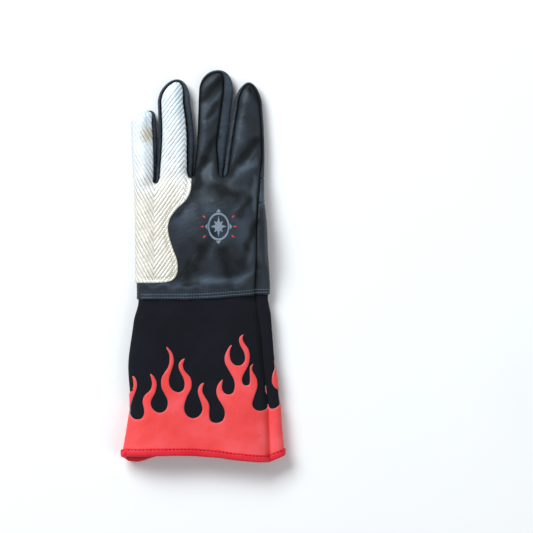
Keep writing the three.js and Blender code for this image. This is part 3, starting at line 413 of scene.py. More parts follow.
def follow(rows, column):
    """A smooth curve through one column of a table, against its column named along."""
    at = np.array([row["along"] for row in rows], float)
    value = np.array([row[column] for row in rows], float)
    before = np.maximum(np.arange(len(at)) - 1, 0)
    after = np.minimum(np.arange(len(at)) + 1, len(at) - 1)
    slope = (value[after] - value[before]) / (at[after] - at[before])

    def curve(where):
        s = np.clip(where, at[0], at[-1])
        i = np.clip(np.searchsorted(at, s, side="right") - 1, 0, len(at) - 2)
        span = at[i + 1] - at[i]
        t = (s - at[i]) / span
        return (
            value[i] * (1 + 2 * t) * (1 - t) ** 2
            + slope[i] * span * t * (1 - t) ** 2
            + value[i + 1] * (3 - 2 * t) * t**2
            - slope[i + 1] * span * (1 - t) * t**2
        )

    return curve


def to_segments(x, y, segments):
    """Distance in plan from each point to the nearest of some straight lines."""
    x, y = np.broadcast_arrays(np.asarray(x, float), np.asarray(y, float))
    best = np.full(x.shape, np.inf)
    for x1, y1, x2, y2 in segments:
        length2 = max((x2 - x1) ** 2 + (y2 - y1) ** 2, 1e-12)
        t = clamp(((x - x1) * (x2 - x1) + (y - y1) * (y2 - y1)) / length2)
        best = np.minimum(best, np.hypot(x - mix(x1, x2, t), y - mix(y1, y2, t)))
    return best


def as_segments(points):
    return [(*points[i], *points[i + 1]) for i in range(len(points) - 1)]


def curved(points, steps):
    """A smooth curve through plan points, with centripetal spacing."""
    p = np.asarray(points, float)
    ends = np.vstack([2 * p[0] - p[1], p, 2 * p[-1] - p[-2]])
    knots = np.concatenate([[0], np.cumsum(np.linalg.norm(np.diff(ends, axis=0), axis=1) ** 0.5)])
    out = []
    for i in range(1, len(ends) - 2):
        t0, t1, t2, t3 = knots[i - 1 : i + 3]
        p0, p1, p2, p3 = ends[i - 1 : i + 3]
        t = np.linspace(t1, t2, steps, endpoint=False)[:, None]
        a1 = ((t1 - t) * p0 + (t - t0) * p1) / (t1 - t0)
        a2 = ((t2 - t) * p1 + (t - t1) * p2) / (t2 - t1)
        a3 = ((t3 - t) * p2 + (t - t2) * p3) / (t3 - t2)
        b1 = ((t2 - t) * a1 + (t - t0) * a2) / (t2 - t0)
        b2 = ((t3 - t) * a2 + (t - t1) * a3) / (t3 - t1)
        out.append(((t2 - t) * b1 + (t - t1) * b2) / (t2 - t1))
    return np.vstack(out + [p[-1:]])


def wobble(x, y, size, seed):
    """A smooth random field between about -1 and 1, with bumps of this size."""
    rng = np.random.default_rng(seed)
    total = np.zeros(np.broadcast(x, y).shape)
    for _ in range(WAVES):
        turn, phase = rng.uniform(0, 2 * np.pi, 2)
        k = 2 * np.pi / (size * rng.uniform(*WAVE_SIZES))
        total += np.sin(k * (x * math.cos(turn) + y * math.sin(turn)) + phase)
    return total / math.sqrt(WAVES)


def bumps(x, y, layers):
    return sum(height * wobble(x, y, size, seed) for height, size, seed in layers)


# Outline of the hand and the gauntlet, seen from above


def body(name):
    curve = follow(BODY, name)

    def at(y):
        y = np.asarray(y, float)
        return curve(np.where(y < 0, y / CUFF_LENGTH, y / HAND_LENGTH))

    return at


body_left, body_right, body_seam = body("left"), body("right"), body("seam")
body_thick, body_round, body_lift = body("thick"), body("round"), body("lift")


def left_edge(y):
    return -mix(PALM_WIDTH / 2, MOUTH_WIDTH / 2, body_left(y))


def right_edge(y):
    return mix(PALM_WIDTH / 2, MOUTH_WIDTH / 2, body_right(y))


def seam_inset(y):
    return GUSSET_WIDTH * body_seam(y)


def hem_line(x):
    return HEM_RISE * smooth(x / (HEM_RUN[1] * PALM_WIDTH) + HEM_RUN[0])


def body_edges(y, seams):
    near, far = {"back": (FOLD_INSET, seam_inset(y)), "palm": (PALM_INSET, PALM_INSET)}[seams]
    return left_edge(y) + near, right_edge(y) - far


# The lines between fingers, seen from above


def finger_lines():
    row = sum(finger["width"] for finger in FINGERS)
    root_left, root_right = float(left_edge(HAND_LENGTH)), float(right_edge(HAND_LENGTH))
    lines = []
    for n in range(len(FINGERS) + 1):
        finger = FINGERS[n - 1] if n else {"fork": 0, "rise": LEFT_ROOT_RISE, "splay": 0, "width": 0}
        width = sum(f["width"] for f in FINGERS[:n])
        x = mix(root_left, root_right, finger["fork"])
        y = HAND_LENGTH * (1 + finger["rise"])
        middle = FINGER_SHIFT * PALM_WIDTH - row / 2 + width
        rows = [
            {"along": y, "x": x},
            {"along": HAND_LENGTH + WIDE_STATION * MIDDLE_LENGTH, "x": middle},
            {"along": HAND_LENGTH + TIP_STATION * MIDDLE_LENGTH,
             "x": middle + finger["splay"] * finger["width"]},
        ]
        lines.append({"x": x, "y": y, "at": follow(rows, "x")})
    return lines


LINES = finger_lines()


def opened(y, line, slant, share=1.0, reach=1.0):
    """How far a fork has opened at this height, from 0 at its round bottom to 1."""
    above = y - line["y"] - slant
    quick = np.sqrt(1 - (1 - clamp(above / FORK_ROUND)) ** 2)
    return share * quick + (1 - share) * smooth(above / reach)


def finger_edges(f, v, y, seams):
    """The two edges of a finger at one height. seams is back, palm or outline."""
    finger = FINGERS[f]
    near, far = LINES[f], LINES[f + 1]
    slant = FORK_SLANT if seams == "palm" else 0
    ways = finger["open"] if seams == "back" else ((), ())
    open_near = opened(y, near, slant, *ways[0]) if f > 0 else 1
    open_far = opened(y, far, slant, *ways[1]) if f < LAST else 1
    end = finger["end"] * finger["width"]
    narrowed = finger["width"] * clamp((y - HAND_LENGTH) / (finger["length"] - end)) ** 2
    left = right = FINGER_INSET * PALM_INSET
    if seams == "outline":
        left = right = 0
    if seams == "back":
        left = finger["back_left"] * finger["width"] if f > 0 else FOLD_INSET
        right = finger["back_right"] * finger["width"]
        if f == LAST:
            right = mix(seam_inset(HAND_LENGTH), INDEX_INSET, smooth(INDEX_RUN * np.asarray(v, float)))
    if seams == "palm" and f == 0:
        left = mix(PALM_INSET, left, smooth(v))
    if seams == "palm" and f == LAST:
        right = mix(PALM_INSET, right, smooth(v))
    gap = FINGER_GAP / 2
    return (
        near["at"](y) + (left + (gap if f > 0 else 0) + finger["taper"][0] * narrowed) * open_near,
        far["at"](y) - (right + (gap if f < LAST else 0) + finger["taper"][1] * narrowed) * open_far,
    )


def finger_plan(f, v, u, seams):
    """Points of a finger seen from above. v is 0 at the fork, 1 where the end begins, 2 at the tip."""
    v, u = np.broadcast_arrays(np.asarray(v, float), np.asarray(u, float))
    finger = FINGERS[f]
    end = finger["end"] * finger["width"]
    end_line = HAND_LENGTH + finger["length"] - end
    slant = FORK_SLANT if seams == "palm" else 0
    root = mix(
        LINES[f]["y"] + (slant if f > 0 else 0),
        LINES[f + 1]["y"] + (slant if f < LAST else 0),
        smooth(u),
    )
    straight = np.minimum(v, 1)
    y = mix(root, end_line, straight)
    left, right = finger_edges(f, straight, y, seams)
    turn = np.clip(v - 1, 0, 1) * math.pi / 2
    narrow = np.where(v < 2, np.abs(np.cos(turn)) ** (2 / finger["curve"]), 0)
    reach = np.sin(turn) ** (2 / finger["curve"])
    low, high = finger_edges(f, 1, end_line, seams)
    out_low, out_high = finger_edges(f, 1, end_line, "outline")
    apex = (out_low + out_high) / 2 + finger["apex"] * finger["width"]
    axis = mix((low + high) / 2, apex, np.sin(turn) ** 2)
    inset = 0 if seams == "outline" else TIP_SEAM
    x = np.where(v <= 1, mix(left, right, u), axis + (u - 0.5) * (high - low) * narrow)
    return x, np.where(v <= 1, y, end_line + (end - inset) * reach)


# How high the skin lies


def thumb_at(length):
    return (
        THUMB_ROOT[0] - math.sin(THUMB_TURN) * length,
        THUMB_ROOT[1] + math.cos(THUMB_TURN) * length,
    )


THUMB_END = 0.5 * THUMB_WIDTH
RAISED_FROM = 0.4  # share of the thumb, from where it holds the palm up
RAISED = [(*thumb_at(RAISED_FROM * THUMB_LENGTH), *thumb_at(THUMB_LENGTH - THUMB_END))]


def low(x, y):
    away = to_segments(x, y, RAISED) - (THUMB_WIDTH / 2 + THUMB_ROOM)
    raised = (THUMB_THICKNESS + THUMB_CLEARANCE) * (1 - smooth(away / PALM_FALL))
    layers = LAY_GAP + FLAME_THICKNESS + REST_ROOM
    binding = LAY_GAP + BINDING_WALL
    return raised + smooth((HEM_RISE - y) / TUCK_SLOPE) * layers + body_lift(y) * binding


def on_finger(y):
    return smooth((y - HAND_LENGTH) / FINGER_BLEND)


def high(x, y):
    away = to_segments(x, y, RAISED) - THUMB_WIDTH / 4
    raised = LIFT * THUMB_THICKNESS * (1 - smooth(away / BACK_FALL))
    even = THICK_STATION * MIDDLE_LENGTH
    depth = mix(
        FINGER_THICKNESS, TIP_THICKNESS, clamp((y - HAND_LENGTH - even) / (MIDDLE_LENGTH - even))
    )
    return raised + mix(body_thick(y) * BODY_THICKNESS, depth, on_finger(y))


def level(x, y, share):
    return mix(low(x, y), high(x, y), share)


def finger_seam(f, u, seams):
    stops = np.concatenate([np.linspace(0, 0.1, 8), np.linspace(0.15, 1, 14), 1 + eased(12)[1:]])
    return as_segments(np.column_stack(finger_plan(f, stops, u, seams)))


def body_seam_line(side, seams):
    y = np.linspace(-1.1 * CUFF_LENGTH, 0.95 * HAND_LENGTH, 50)
    end = np.column_stack(finger_plan(LAST if side else 0, [0.0], side, seams))
    return as_segments(np.vstack([np.column_stack([body_edges(y, seams)[side], y]), end]))


def seam_segments(seams):
    """The seams of the back or the palm, as straight lines in plan."""
    lines = []
    for f in range(len(FINGERS)):
        for u in (0, 1):
            if f > 0 or u > 0 or seams == "palm":
                lines += finger_seam(f, u, seams)
    if seams == "palm":
        lines += body_seam_line(0, seams)
    return lines + body_seam_line(1, seams)


SEAMS = {"back": seam_segments("back"), "palm": seam_segments("palm")}
GROOVE = body_seam_line(1, "back")
FOLDED = finger_seam(0, 0, "back") + body_seam_line(0, "back")  # the leather turns here, unsewn


def edge_share(seams, v):
    turn = smooth(np.asarray(v, float) - 1)
    if seams == "back":
        return mix(EDGE["top"], EDGE["tip_top"], turn)
    return mix(EDGE["bottom"], EDGE["tip_bottom"], turn)


def fold_depth(x, y, folds):
    half = PALM_WIDTH / 2
    total = np.zeros(np.broadcast(x, y).shape)
    for fold in folds:
        way = (fold["x1"] * half, fold["y1"] * HAND_LENGTH, fold["x2"] * half, fold["y2"] * HAND_LENGTH)
        away = to_segments(x, y, [way]) / (fold["width"] * BODY_THICKNESS)
        total += fold["depth"] * BODY_THICKNESS * np.exp(-(away**2))
    return total


def crease_depth(x, y):
    total = np.zeros(np.broadcast(x, y).shape)
    for *way, width, depth in CREASES:
        total += depth / (1 + (to_segments(x, y, [way]) / width) ** 2) ** 2
    return total


def painted_light_at(points):
    """From -1, a painted highlight, to 1, painted shade in creases and along seams."""
    x, y, z = np.asarray(points).T
    # Painted shade along the back's seams, stronger on the fingers
    beside = mix(*SEAM_PAINTED_SHADE, on_finger(y)) * smooth((z - SHADE_FROM) / TONE_FADE)
    beside = beside * np.exp(-((to_segments(x, y, SEAMS["back"]) / SEAM_SHADE) ** 2))
    stray, size = TONE_STRAY
    x, y = x + stray * wobble(x, y, size, 21), y + stray * wobble(x, y, size, 22)
    total = np.zeros(len(x))
    for x1, y1, x2, y2, width, amount in PAINTED_SHADE_AND_HIGHLIGHTS:
        reach = np.hypot(x2 - x1, y2 - y1) / 2 + width
        along = (x - (x1 + x2) / 2) * (x2 - x1) + (y - (y1 + y2) / 2) * (y2 - y1)
        along = along / (2 * reach - 2 * width)
        fade = np.cos(clamp(np.abs(along) / (TONE_END * reach)) * math.pi / 2) ** 0.5
        total += amount * fade * np.exp(-((to_segments(x, y, [(x1, y1, x2, y2)]) / width) ** 2))
    return np.clip(total * smooth((z - TONE_FROM) / TONE_FADE) + beside, -1, 1)


def relief(x, y, seams):
    """How far the leather of the hand lies below its plain form, where it is well inside a panel."""
    soft = bumps(x, y, HAND_BUMPS)
    for row in HEM_ROWS:
        soft = soft + HEM_DIP * np.exp(-(((y - hem_line(x) - row) / ROW_WIDTH) ** 2))
    return (crease_depth(x, y) if seams == "back" else 0) + soft


CUFF_FOLDS = [fold for fold in FOLDS if fold["depth"] > 0]


def shoulder(y):
    return mix(body_round(y) * SHOULDER, FINGER_SHOULDER, on_finger(y))


def groove_depth(y):
    """How deep the seam lies on the thumb's side of the back."""
    return mix(*GROOVE_DEPTH, smooth(-y / GROOVE_CHANGE)) * (1 - on_finger(y + GROOVE_END))


def on_skin(x, y, seams, v=0.0, cuff=False):
    """Height of the skin's outer side above a plan point."""
    reach = shoulder(y)
    away = to_segments(x, y, SEAMS[seams])
    rise = rounded(away / reach)
    edge = edge_share(seams, v)
    bend = (bumps(x, y, CUFF_BUMPS) if cuff else relief(x, y, seams)) * smooth(away / RELIEF_FADE)
    if seams == "palm":
        return level(x, y, edge * (1 - rise)) + np.maximum(bend, 0) * PALM_RELIEF
    folds = fold_depth(x, y, CUFF_FOLDS if cuff else FOLDS)
    turned = swept((to_segments(x, y, FOLDED) + FOLD_INSET) / (reach + FOLD_INSET))
    share = 1 - np.hypot((1 - edge) * (1 - rise), (1 - EDGE["middle"]) * (1 - turned))
    groove = groove_depth(y) * np.exp(-((to_segments(x, y, GROOVE) / GROOVE_WIDTH) ** 2))
    return level(x, y, share) - folds * rise * turned - bend - groove


def on_back(x, y):
    return on_skin(x, y, "back")


def on_cuff(x, y):
    return on_skin(x, y, "back", cuff=True)


def as_points(x, y, z):
    return np.stack(np.broadcast_arrays(x, y, z), axis=-1)


SIDE = eased(SIDE_STEPS)


def round_side(top, outline_x, outline_y, bottom, folded, swell=None):
    """Points round one side of each row, from the back's seam past the outline to the palm's.
    folded says that the leather turns over the upper edge without a seam."""
    middle = as_points(outline_x, outline_y, level(outline_x, outline_y, EDGE["middle"]))
    top, middle, bottom = top[:, None], middle[:, None], bottom[:, None]
    share = np.broadcast_to(SIDE, (len(top), len(SIDE)))
    turn = np.minimum(share, 1 - share) * math.pi
    seam = np.where(share[..., None] < 0.5, top, bottom)
    points = mix(seam, middle, np.sin(turn)[..., None])
    drop = np.cos(turn)
    if folded:
        inset = np.linalg.norm((top - middle)[..., :2], axis=2)
        whole = inset + shoulder(np.asarray(outline_y))[:, None]
        upper = swept(inset * (1 - np.sin(turn)) / whole) / swept(inset / whole)
        drop = np.where(share < 0.5, upper, drop)
    points[..., 2] = mix(middle[..., 2], seam[..., 2], drop)
    if swell is not None:
        points[..., 2] += np.where(share < 0.5, np.sin(2 * turn), 0) * swell[:, None]
    return points


def strip_wrinkles(side, f):
    """Cross wrinkles in the strips between the fingers, fading out at their seams."""
    x, y = side[..., 0], side[..., 1]
    waves = sum(h * wobble(x * stretch, y, size, seed + f) for h, stretch, size, seed in STRIP_WAVES)
    across = np.sin(np.linspace(0, math.pi, side.shape[1]))
    set_in = smooth((y - HAND_LENGTH) / STRIP_FADE)
    return STRIP_WRINKLES * np.clip(waves, *STRIP_RANGE) * across * set_in


def finger_rings(f, stops, shares):
    """Sheets of one finger: back, right, palm and left, each with rows towards the tip."""
    v = stops[:, None]
    back_x, back_y = finger_plan(f, v, shares[None, :], "back")
    palm_x, palm_y = finger_plan(f, v, shares[None, :], "palm")
    back = as_points(back_x, back_y, on_skin(back_x, back_y, "back", v))
    palm = as_points(palm_x, palm_y, on_skin(palm_x, palm_y, "palm", v))
    sides = []
    for u in (0, 1):
        x, y = finger_plan(f, stops, u, "outline")
        if (f < LAST) if u else (f > 0):
            y = y + FORK_SLANT / 2 * (1 - smooth(stops / FORK_FADE))
            x = np.where(stops == 0, LINES[f + u]["x"], x)
        sides.append(round_side(back[:, -u], x, y, palm[:, -u], f == 0 and u == 0))
        if f > 0 or u > 0:
            sides[-1][..., 2] -= strip_wrinkles(sides[-1], f)
    return {"back": back, "right": sides[1], "palm": palm[:, ::-1], "left": sides[0][:, ::-1]}


def finger_columns(width):
    return eased(max(int(width / COLUMN_STEP), 8))


def root_row(seams):
    xs, ys = [], []
    for f, finger in enumerate(FINGERS):
        shares = finger_columns(finger["width"])
        x, y = finger_plan(f, 0.0, shares, seams)
        start = 0 if f == 0 else 1
        xs.append(x[start:])
        ys.append(y[start:])
    return np.concatenate(xs), np.concatenate(ys)


ROOT = {seams: root_row(seams) for seams in ("back", "palm")}


def ring_x(around):
    half = PALM_WIDTH / 2
    return np.where(
        around < ROUND_BACK,
        mix(-half, half - GUSSET_WIDTH, around / ROUND_BACK),
        np.where(
            around < ROUND_SIDE,
            half,
            mix(half, -half, clamp((around - ROUND_SIDE) / (ROUND_PALM - ROUND_SIDE))),
        ),
    )


def body_rings(line, shares, to_root, cuff=False):
    """Sheets of the hand or the gauntlet. line gives each row's y for a share of the way round,
    and to_root says that the rows end at the fingers."""
    rows = {}
    shares = np.asarray(shares, float)[:, None]
    at_root = smooth((shares - ROOT_FROM) / (1 - ROOT_FROM)) if to_root else shares * 0
    for seams, start, stop in (("back", 0, ROUND_BACK), ("palm", ROUND_PALM, ROUND_SIDE)):
        root_x, root_y = ROOT[seams]
        across = (root_x - root_x[0]) / (root_x[-1] - root_x[0])
        y = line(mix(start, stop, across), shares)
        if to_root:
            y = mix(line(mix(start, stop, across), 0), root_y, shares)
        left, right = body_edges(y, seams)
        x = mix(mix(left, right, across), root_x, at_root)
        rows[seams] = as_points(x, y, on_skin(x, y, seams, cuff=cuff))
    sides = []
    for n, around in ((0, (ROUND_PALM + 1) / 2), (1, (ROUND_BACK + ROUND_SIDE) / 2)):
        y = line(around, shares[:, 0])
        end_x, end_y = finger_plan(LAST if n else 0, 0.0, n, "outline")
        if to_root:
            y = mix(line(around, 0), end_y, shares[:, 0])
        edge = mix((right_edge if n else left_edge)(y), end_x, at_root[:, 0])
        swell = GUSSET_SWELL * groove_depth(y) if n else None
        sides.append(round_side(rows["back"][:, -n], edge, y, rows["palm"][:, -n], not n, swell))
    return {
        "back": rows["back"], "right": sides[1],
        "palm": rows["palm"][:, ::-1], "left": sides[0][:, ::-1],
    }


def hem_round(around):
    """The hem's y for a share of the way round."""
    return hem_line(ring_x(np.asarray(around, float)))


def hand_line(around, share):
    return hem_round(around) + 0 * share


mouth_rise = follow(MOUTH, "rise")


def cuff_line(around, share):
    mouth = (mouth_rise(around) - 1) * CUFF_LENGTH
    return mix(mouth, hem_round(around) + HEM_OVERLAP, share)


# Skins: welded points, and faces that each belong to a sewn piece

WELD_STEPS = 1000  # a millimetre, in steps within which points agree


def grid_faces(grid):
    """Quads between rows of points. Rows run towards the fingertips and columns clockwise, seen
    from the mouth's far side, so every quad looks outwards."""
    rows, columns = grid.shape[:2]
    ids = np.arange(rows * columns).reshape(rows, columns)
    quads = np.stack([ids[:-1, :-1], ids[:-1, 1:], ids[1:, 1:], ids[1:, :-1]], axis=-1)
    return quads.reshape(-1, 4)


def weld(parts):
    """Joins (points, faces) parts where their points agree. Returns the points, one of the old
    points for each and each part's faces."""
    points = np.vstack([part.reshape(-1, 3) for part, _ in parts])
    keys = np.round(points * WELD_STEPS).astype(np.int64)
    _, first, inverse = np.unique(keys, axis=0, return_index=True, return_inverse=True)
    inverse = inverse.reshape(-1)
    faces = []
    start = 0
    for part, quads in parts:
        faces.append(tidy_quads(inverse[start + quads]))
        start += part.size // 3
    return points[first], first, faces


class Skin:
    """Welded sheets of points, with the faces of each sewn piece."""

    def __init__(self, sheets, turned=(), pinned=()):
        """sheets are (rows of points, name). turned are (point, normal) where the skin doubles back,
        and pinned are points where two pieces meet without a seam that shows."""
        self.points, _, faces = weld([(grid, grid_faces(grid)) for grid, _ in sheets])
        found = {}
        for (_, name), quads in zip(sheets, faces):
            found.setdefault(name, []).append(quads)
        self.faces = {name: np.vstack(quads) for name, quads in found.items()}
        tree = as_tree(self.points)
        self.turned = [(tree.find(spot)[1], unit(np.array(way, float))) for spot, way in turned]
        self.pinned = np.zeros(len(self.points), bool)
        for spot in pinned:
            self.pinned[tree.find(spot)[1]] = True

    def normals(self):
        normals = vertex_normals(self.points, np.vstack(list(self.faces.values())))
        for index, normal in self.turned:
            normals[index] = normal
        return normals


def tidy_quads(quads):
    """Quads with a collapsed edge become triangles, written with their last corner twice."""
    same = quads == np.roll(quads, -1, axis=1)
    out = [quads[~same.any(axis=1)]]
    for k in range(4):
        found = quads[same[:, k] & (same.sum(axis=1) == 1)]
        out.append(np.roll(found, -(k + 1), axis=1)[:, [0, 1, 2, 2]])
    return np.vstack(out)


def as_tree(points):
    tree = KDTree(len(points))
    for n, point in enumerate(points):
        tree.insert(point, n)
    tree.balance()
    return tree


def vertex_normals(points, faces):
    a, b, c, d = (points[faces[:, k]] for k in range(4))
    flat = (faces[:, 2] == faces[:, 3])[:, None]
    cross = np.cross(c - a, np.where(flat, a, d) - b)
    sums = np.zeros_like(points)
    for k in range(4):
        np.add.at(sums, faces[:, k], np.where(flat & (k == 3), 0.0, cross))
    return unit(sums)


def rim_edges(faces, count):
    """Directed edges of some faces that no other of them shares."""
    edges = np.vstack([faces[:, [k, (k + 1) % 4]] for k in range(4)])
    edges = edges[edges[:, 0] != edges[:, 1]]
    forward = edges[:, 0].astype(np.int64) * count + edges[:, 1]
    backward = edges[:, 1].astype(np.int64) * count + edges[:, 0]
    return edges[~np.isin(forward, backward)]


# Building pieces

ROLL = 1.4  # how wide the leather rolls down into a seam
ROLL_DEPTH = 0.75  # share of ROLL by which its outer side sinks there
INNER_SINK = 0.3  # by which its inner side does, at most
RIM_STEPS = 3


def shell(points, normals, faces, outside, inside, roll=ROLL, draw_in=0.1, bulge=0.22, pinned=None):
    """A wall between two offsets of some faces, with rounded edges that roll down towards seams.
    roll is how wide that roll is, draw_in how far the edge is drawn in, bulge how far it stands out
    and pinned which of its points don't roll. Returns points, faces and which face belongs to the
    outer side (0), the edge (1) or the inner side (2)."""
    used, inverse = np.unique(faces, return_inverse=True)
    faces = inverse.reshape(faces.shape)
    base, normal = points[used].copy(), normals[used]
    count = len(used)
    rim = rim_edges(faces, count)
    way = unit(base[rim[:, 1]] - base[rim[:, 0]])
    inward = unit(np.cross(normal[rim[:, 0]] + normal[rim[:, 1]], way))
    pull = np.zeros_like(base)
    for k in (0, 1):
        np.add.at(pull, rim[:, k], inward)
    pull = unit(pull)
    rim_ids = np.unique(rim)
    rolling = rim_ids if pinned is None else rim_ids[~pinned[used[rim_ids]]]
    sink = np.zeros(count)
    if roll > 0 and len(rolling):
        tree = as_tree(base[rolling])
        away = np.array([tree.find(p)[2] for p in base])
        t = 1 - np.minimum(away / roll, 1)
        sink = roll * ROLL_DEPTH * (1 - np.sqrt(np.maximum(1 - t**2, 0)))
    base = base + pull * draw_in
    outer = base + normal * (outside - sink)[:, None]
    inner = base + normal * (inside - np.minimum(sink, INNER_SINK))[:, None]
    inner_faces = np.where(
        (faces[:, 2] == faces[:, 3])[:, None], faces[:, [2, 1, 0, 0]], faces[:, ::-1]
    )
    parts, quads, levels = [outer, inner], [faces, inner_faces + count], [rim]
    lookup = np.full(count, -1)
    lookup[rim_ids] = np.arange(len(rim_ids))
    for step in range(RIM_STEPS):
        share = (step + 1) / (RIM_STEPS + 1)
        between = mix(outer[rim_ids], inner[rim_ids], share)
        parts.append(between - pull[rim_ids] * bulge * math.sin(math.pi * share))
        levels.append(lookup[rim] + 2 * count + step * len(rim_ids))
    levels.append(rim + count)
    for upper, lower in zip(levels[:-1], levels[1:]):
        quads.append(np.column_stack([upper[:, 1], upper[:, 0], lower[:, 0], lower[:, 1]]))
    sides = np.concatenate(
        [np.zeros(len(quads[0]), int), np.full(len(quads[1]), 2)]
        + [np.ones(len(q), int) for q in quads[2:]]
    )
    return np.vstack(parts), np.vstack(quads), sides


def shell_values(values, faces):
    """The skin's values for the points that shell() makes."""
    used, inverse = np.unique(faces, return_inverse=True)
    rim = np.unique(rim_edges(inverse.reshape(faces.shape), len(used)))
    return np.vstack([values[used], values[used]] + [values[used][rim]] * RIM_STEPS)


def joined(parts):
    """Several (points, faces) as one."""
    starts = np.cumsum([0] + [len(points) for points, _ in parts[:-1]])
    faces = [faces + start for (_, faces), start in zip(parts, starts)]
    return np.vstack([points for points, _ in parts]), np.vstack(faces)


# From the glove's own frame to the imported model's, in millimetres
MIDDLE_SHIFT = -0.111
SHIFT = np.array([MIDDLE_SHIFT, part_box("palm_panel")[0].y * 1000 - SEAM_GAP / 2, 0.0])


def to_frame(points):
    return (np.asarray(points) + SHIFT) / 1000


def placed(name, data):
    thing = bpy.data.objects.new(name, data)
    bpy.context.scene.collection.objects.link(thing)
    return thing


def make(name, points, faces, materials, sides=None, weave=None, tone=None):
    """One Blender object from points in millimetres."""
    mesh = bpy.data.meshes.new(name)
    faces = np.asarray(faces)
    rows = [list(face[:3]) if face[-1] == face[-2] else list(face) for face in faces.tolist()]
    mesh.from_pydata(to_frame(points).tolist(), [], rows)
    for material in materials:
        mesh.materials.append(material)
    if sides is not None:
        mesh.polygons.foreach_set("material_index", np.minimum(sides, len(materials) - 1).tolist())
    mesh.polygons.foreach_set("use_smooth", [True] * len(mesh.polygons))
    if weave is not None:
        layer = mesh.attributes.new("weave", "FLOAT_VECTOR", "POINT")
        layer.data.foreach_set("vector", np.asarray(weave, np.float32).reshape(-1))
    # tone carries painted shade and painted highlights, read by the grain leather's colour
    if tone is not None:
        layer = mesh.attributes.new("tone", "FLOAT", "POINT")
        layer.data.foreach_set("value", np.asarray(tone, np.float32))
    mesh.validate()
    mesh.update()
    piece = placed(f"{name}_look", mesh)
    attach(piece, "root")
    return piece


def stands_for(piece, name):
    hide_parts(name)


# Materials


class Nodes:
    """Short calls for a material's nodes. The scale of noise and cells is in bumps a millimetre."""

    def __init__(self, name):
        self.material = bpy.data.materials.new(name)
        self.material.use_nodes = True
        self.tree = self.material.node_tree
        self.shader = self.tree.nodes["Principled BSDF"]

    def add(self, kind, **values):
        node = self.tree.nodes.new(kind)
        for key, value in values.items():
            if hasattr(node, key):
                setattr(node, key, value)
        for key, value in values.items():
            if not hasattr(node, key):
                node.inputs[key.replace("_", " ")].default_value = value
        return node

    def link(self, source, target):
        self.tree.links.new(source, target)

    def feed(self, socket, value):
        """Sets a socket to a number or a colour, or links it to another."""
        if isinstance(value, tuple):
            socket.default_value = (*value, 1)
        elif isinstance(value, (int, float)):
            socket.default_value = value
        else:
            self.link(value, socket)

    def place(self):
        """Object coordinates in millimetres."""
        mapping = self.add("ShaderNodeMapping", Scale=(1000, 1000, 1000))
        self.link(self.add("ShaderNodeTexCoord").outputs["Object"], mapping.inputs["Vector"])
        return mapping.outputs["Vector"]

    def attribute(self, name, output):
        return self.add("ShaderNodeAttribute", attribute_name=name).outputs[output]

    def noise(self, vector, scale, detail, rough=0.5):
        node = self.add("ShaderNodeTexNoise", Scale=scale, Detail=detail, Roughness=rough)
        self.link(vector, node.inputs["Vector"])
        return node.outputs["Fac"]

    def cells(self, vector, scale, feature="F1"):
        node = self.add("ShaderNodeTexVoronoi", feature=feature, Scale=scale)
        self.link(vector, node.inputs["Vector"])
        return node.outputs["Distance"]

    def away_from(self, vector, centre, reach):
        """Distance from a point, as a share of reach."""
        away = self.add("ShaderNodeVectorMath", operation="DISTANCE")
        self.link(vector, away.inputs[0])
        away.inputs[1].default_value = centre
        return self.math("DIVIDE", away.outputs["Value"], reach)

    def ramp(self, value, stops):
        """stops are (place, number or colour). The places lie from 0 to 1."""
        node = self.add("ShaderNodeValToRGB")
        elements = node.color_ramp.elements
        while len(elements) < len(stops):
            elements.new(0.5)
        for element, (place, colour) in zip(elements, stops):
            element.position = place
            element.color = (*(colour if isinstance(colour, tuple) else (colour,) * 3), 1)
        self.link(value, node.inputs["Fac"])
        return node.outputs["Color"]

    def math(self, operation, a, b=0.5, c=0.0):
        node = self.add("ShaderNodeMath", operation=operation)
        for socket, value in zip(node.inputs, (a, b, c)):
            self.feed(socket, value)
        return node.outputs[0]

    def blend(self, share, a, b):
        node = self.add("ShaderNodeMix", data_type="RGBA")
        for socket, value in ((node.inputs["Factor"], share), (node.inputs[6], a), (node.inputs[7], b)):
            self.feed(socket, value)
        return node.outputs[2]

    def bump(self, height, strength, distance, before=None):
        """distance is in millimetres, and before is the normal that this bump adds to."""
        node = self.add("ShaderNodeBump", Strength=strength, Distance=distance / 1000)
        self.link(height, node.inputs["Height"])
        if before is not None:
            self.link(before, node.inputs["Normal"])
        return node.outputs["Normal"]

    def finish(self, colour, roughness, normal=None, **constants):
        self.feed(self.shader.inputs["Base Color"], colour)
        self.feed(self.shader.inputs["Roughness"], roughness)
        if normal is not None:
            self.link(normal, self.shader.inputs["Normal"])
        for key, value in constants.items():
            self.shader.inputs[key.replace("_", " ")].default_value = value
        return self.material


def shaded(colour, share):
    return tuple(share * c for c in colour)


# Colours of painted shade in the leather's creases and of painted highlights on its ridges
PAINTED_CREASE_SHADE = (0.0036, 0.003, 0.003)
PAINTED_HIGHLIGHT = (0.074, 0.102, 0.138)


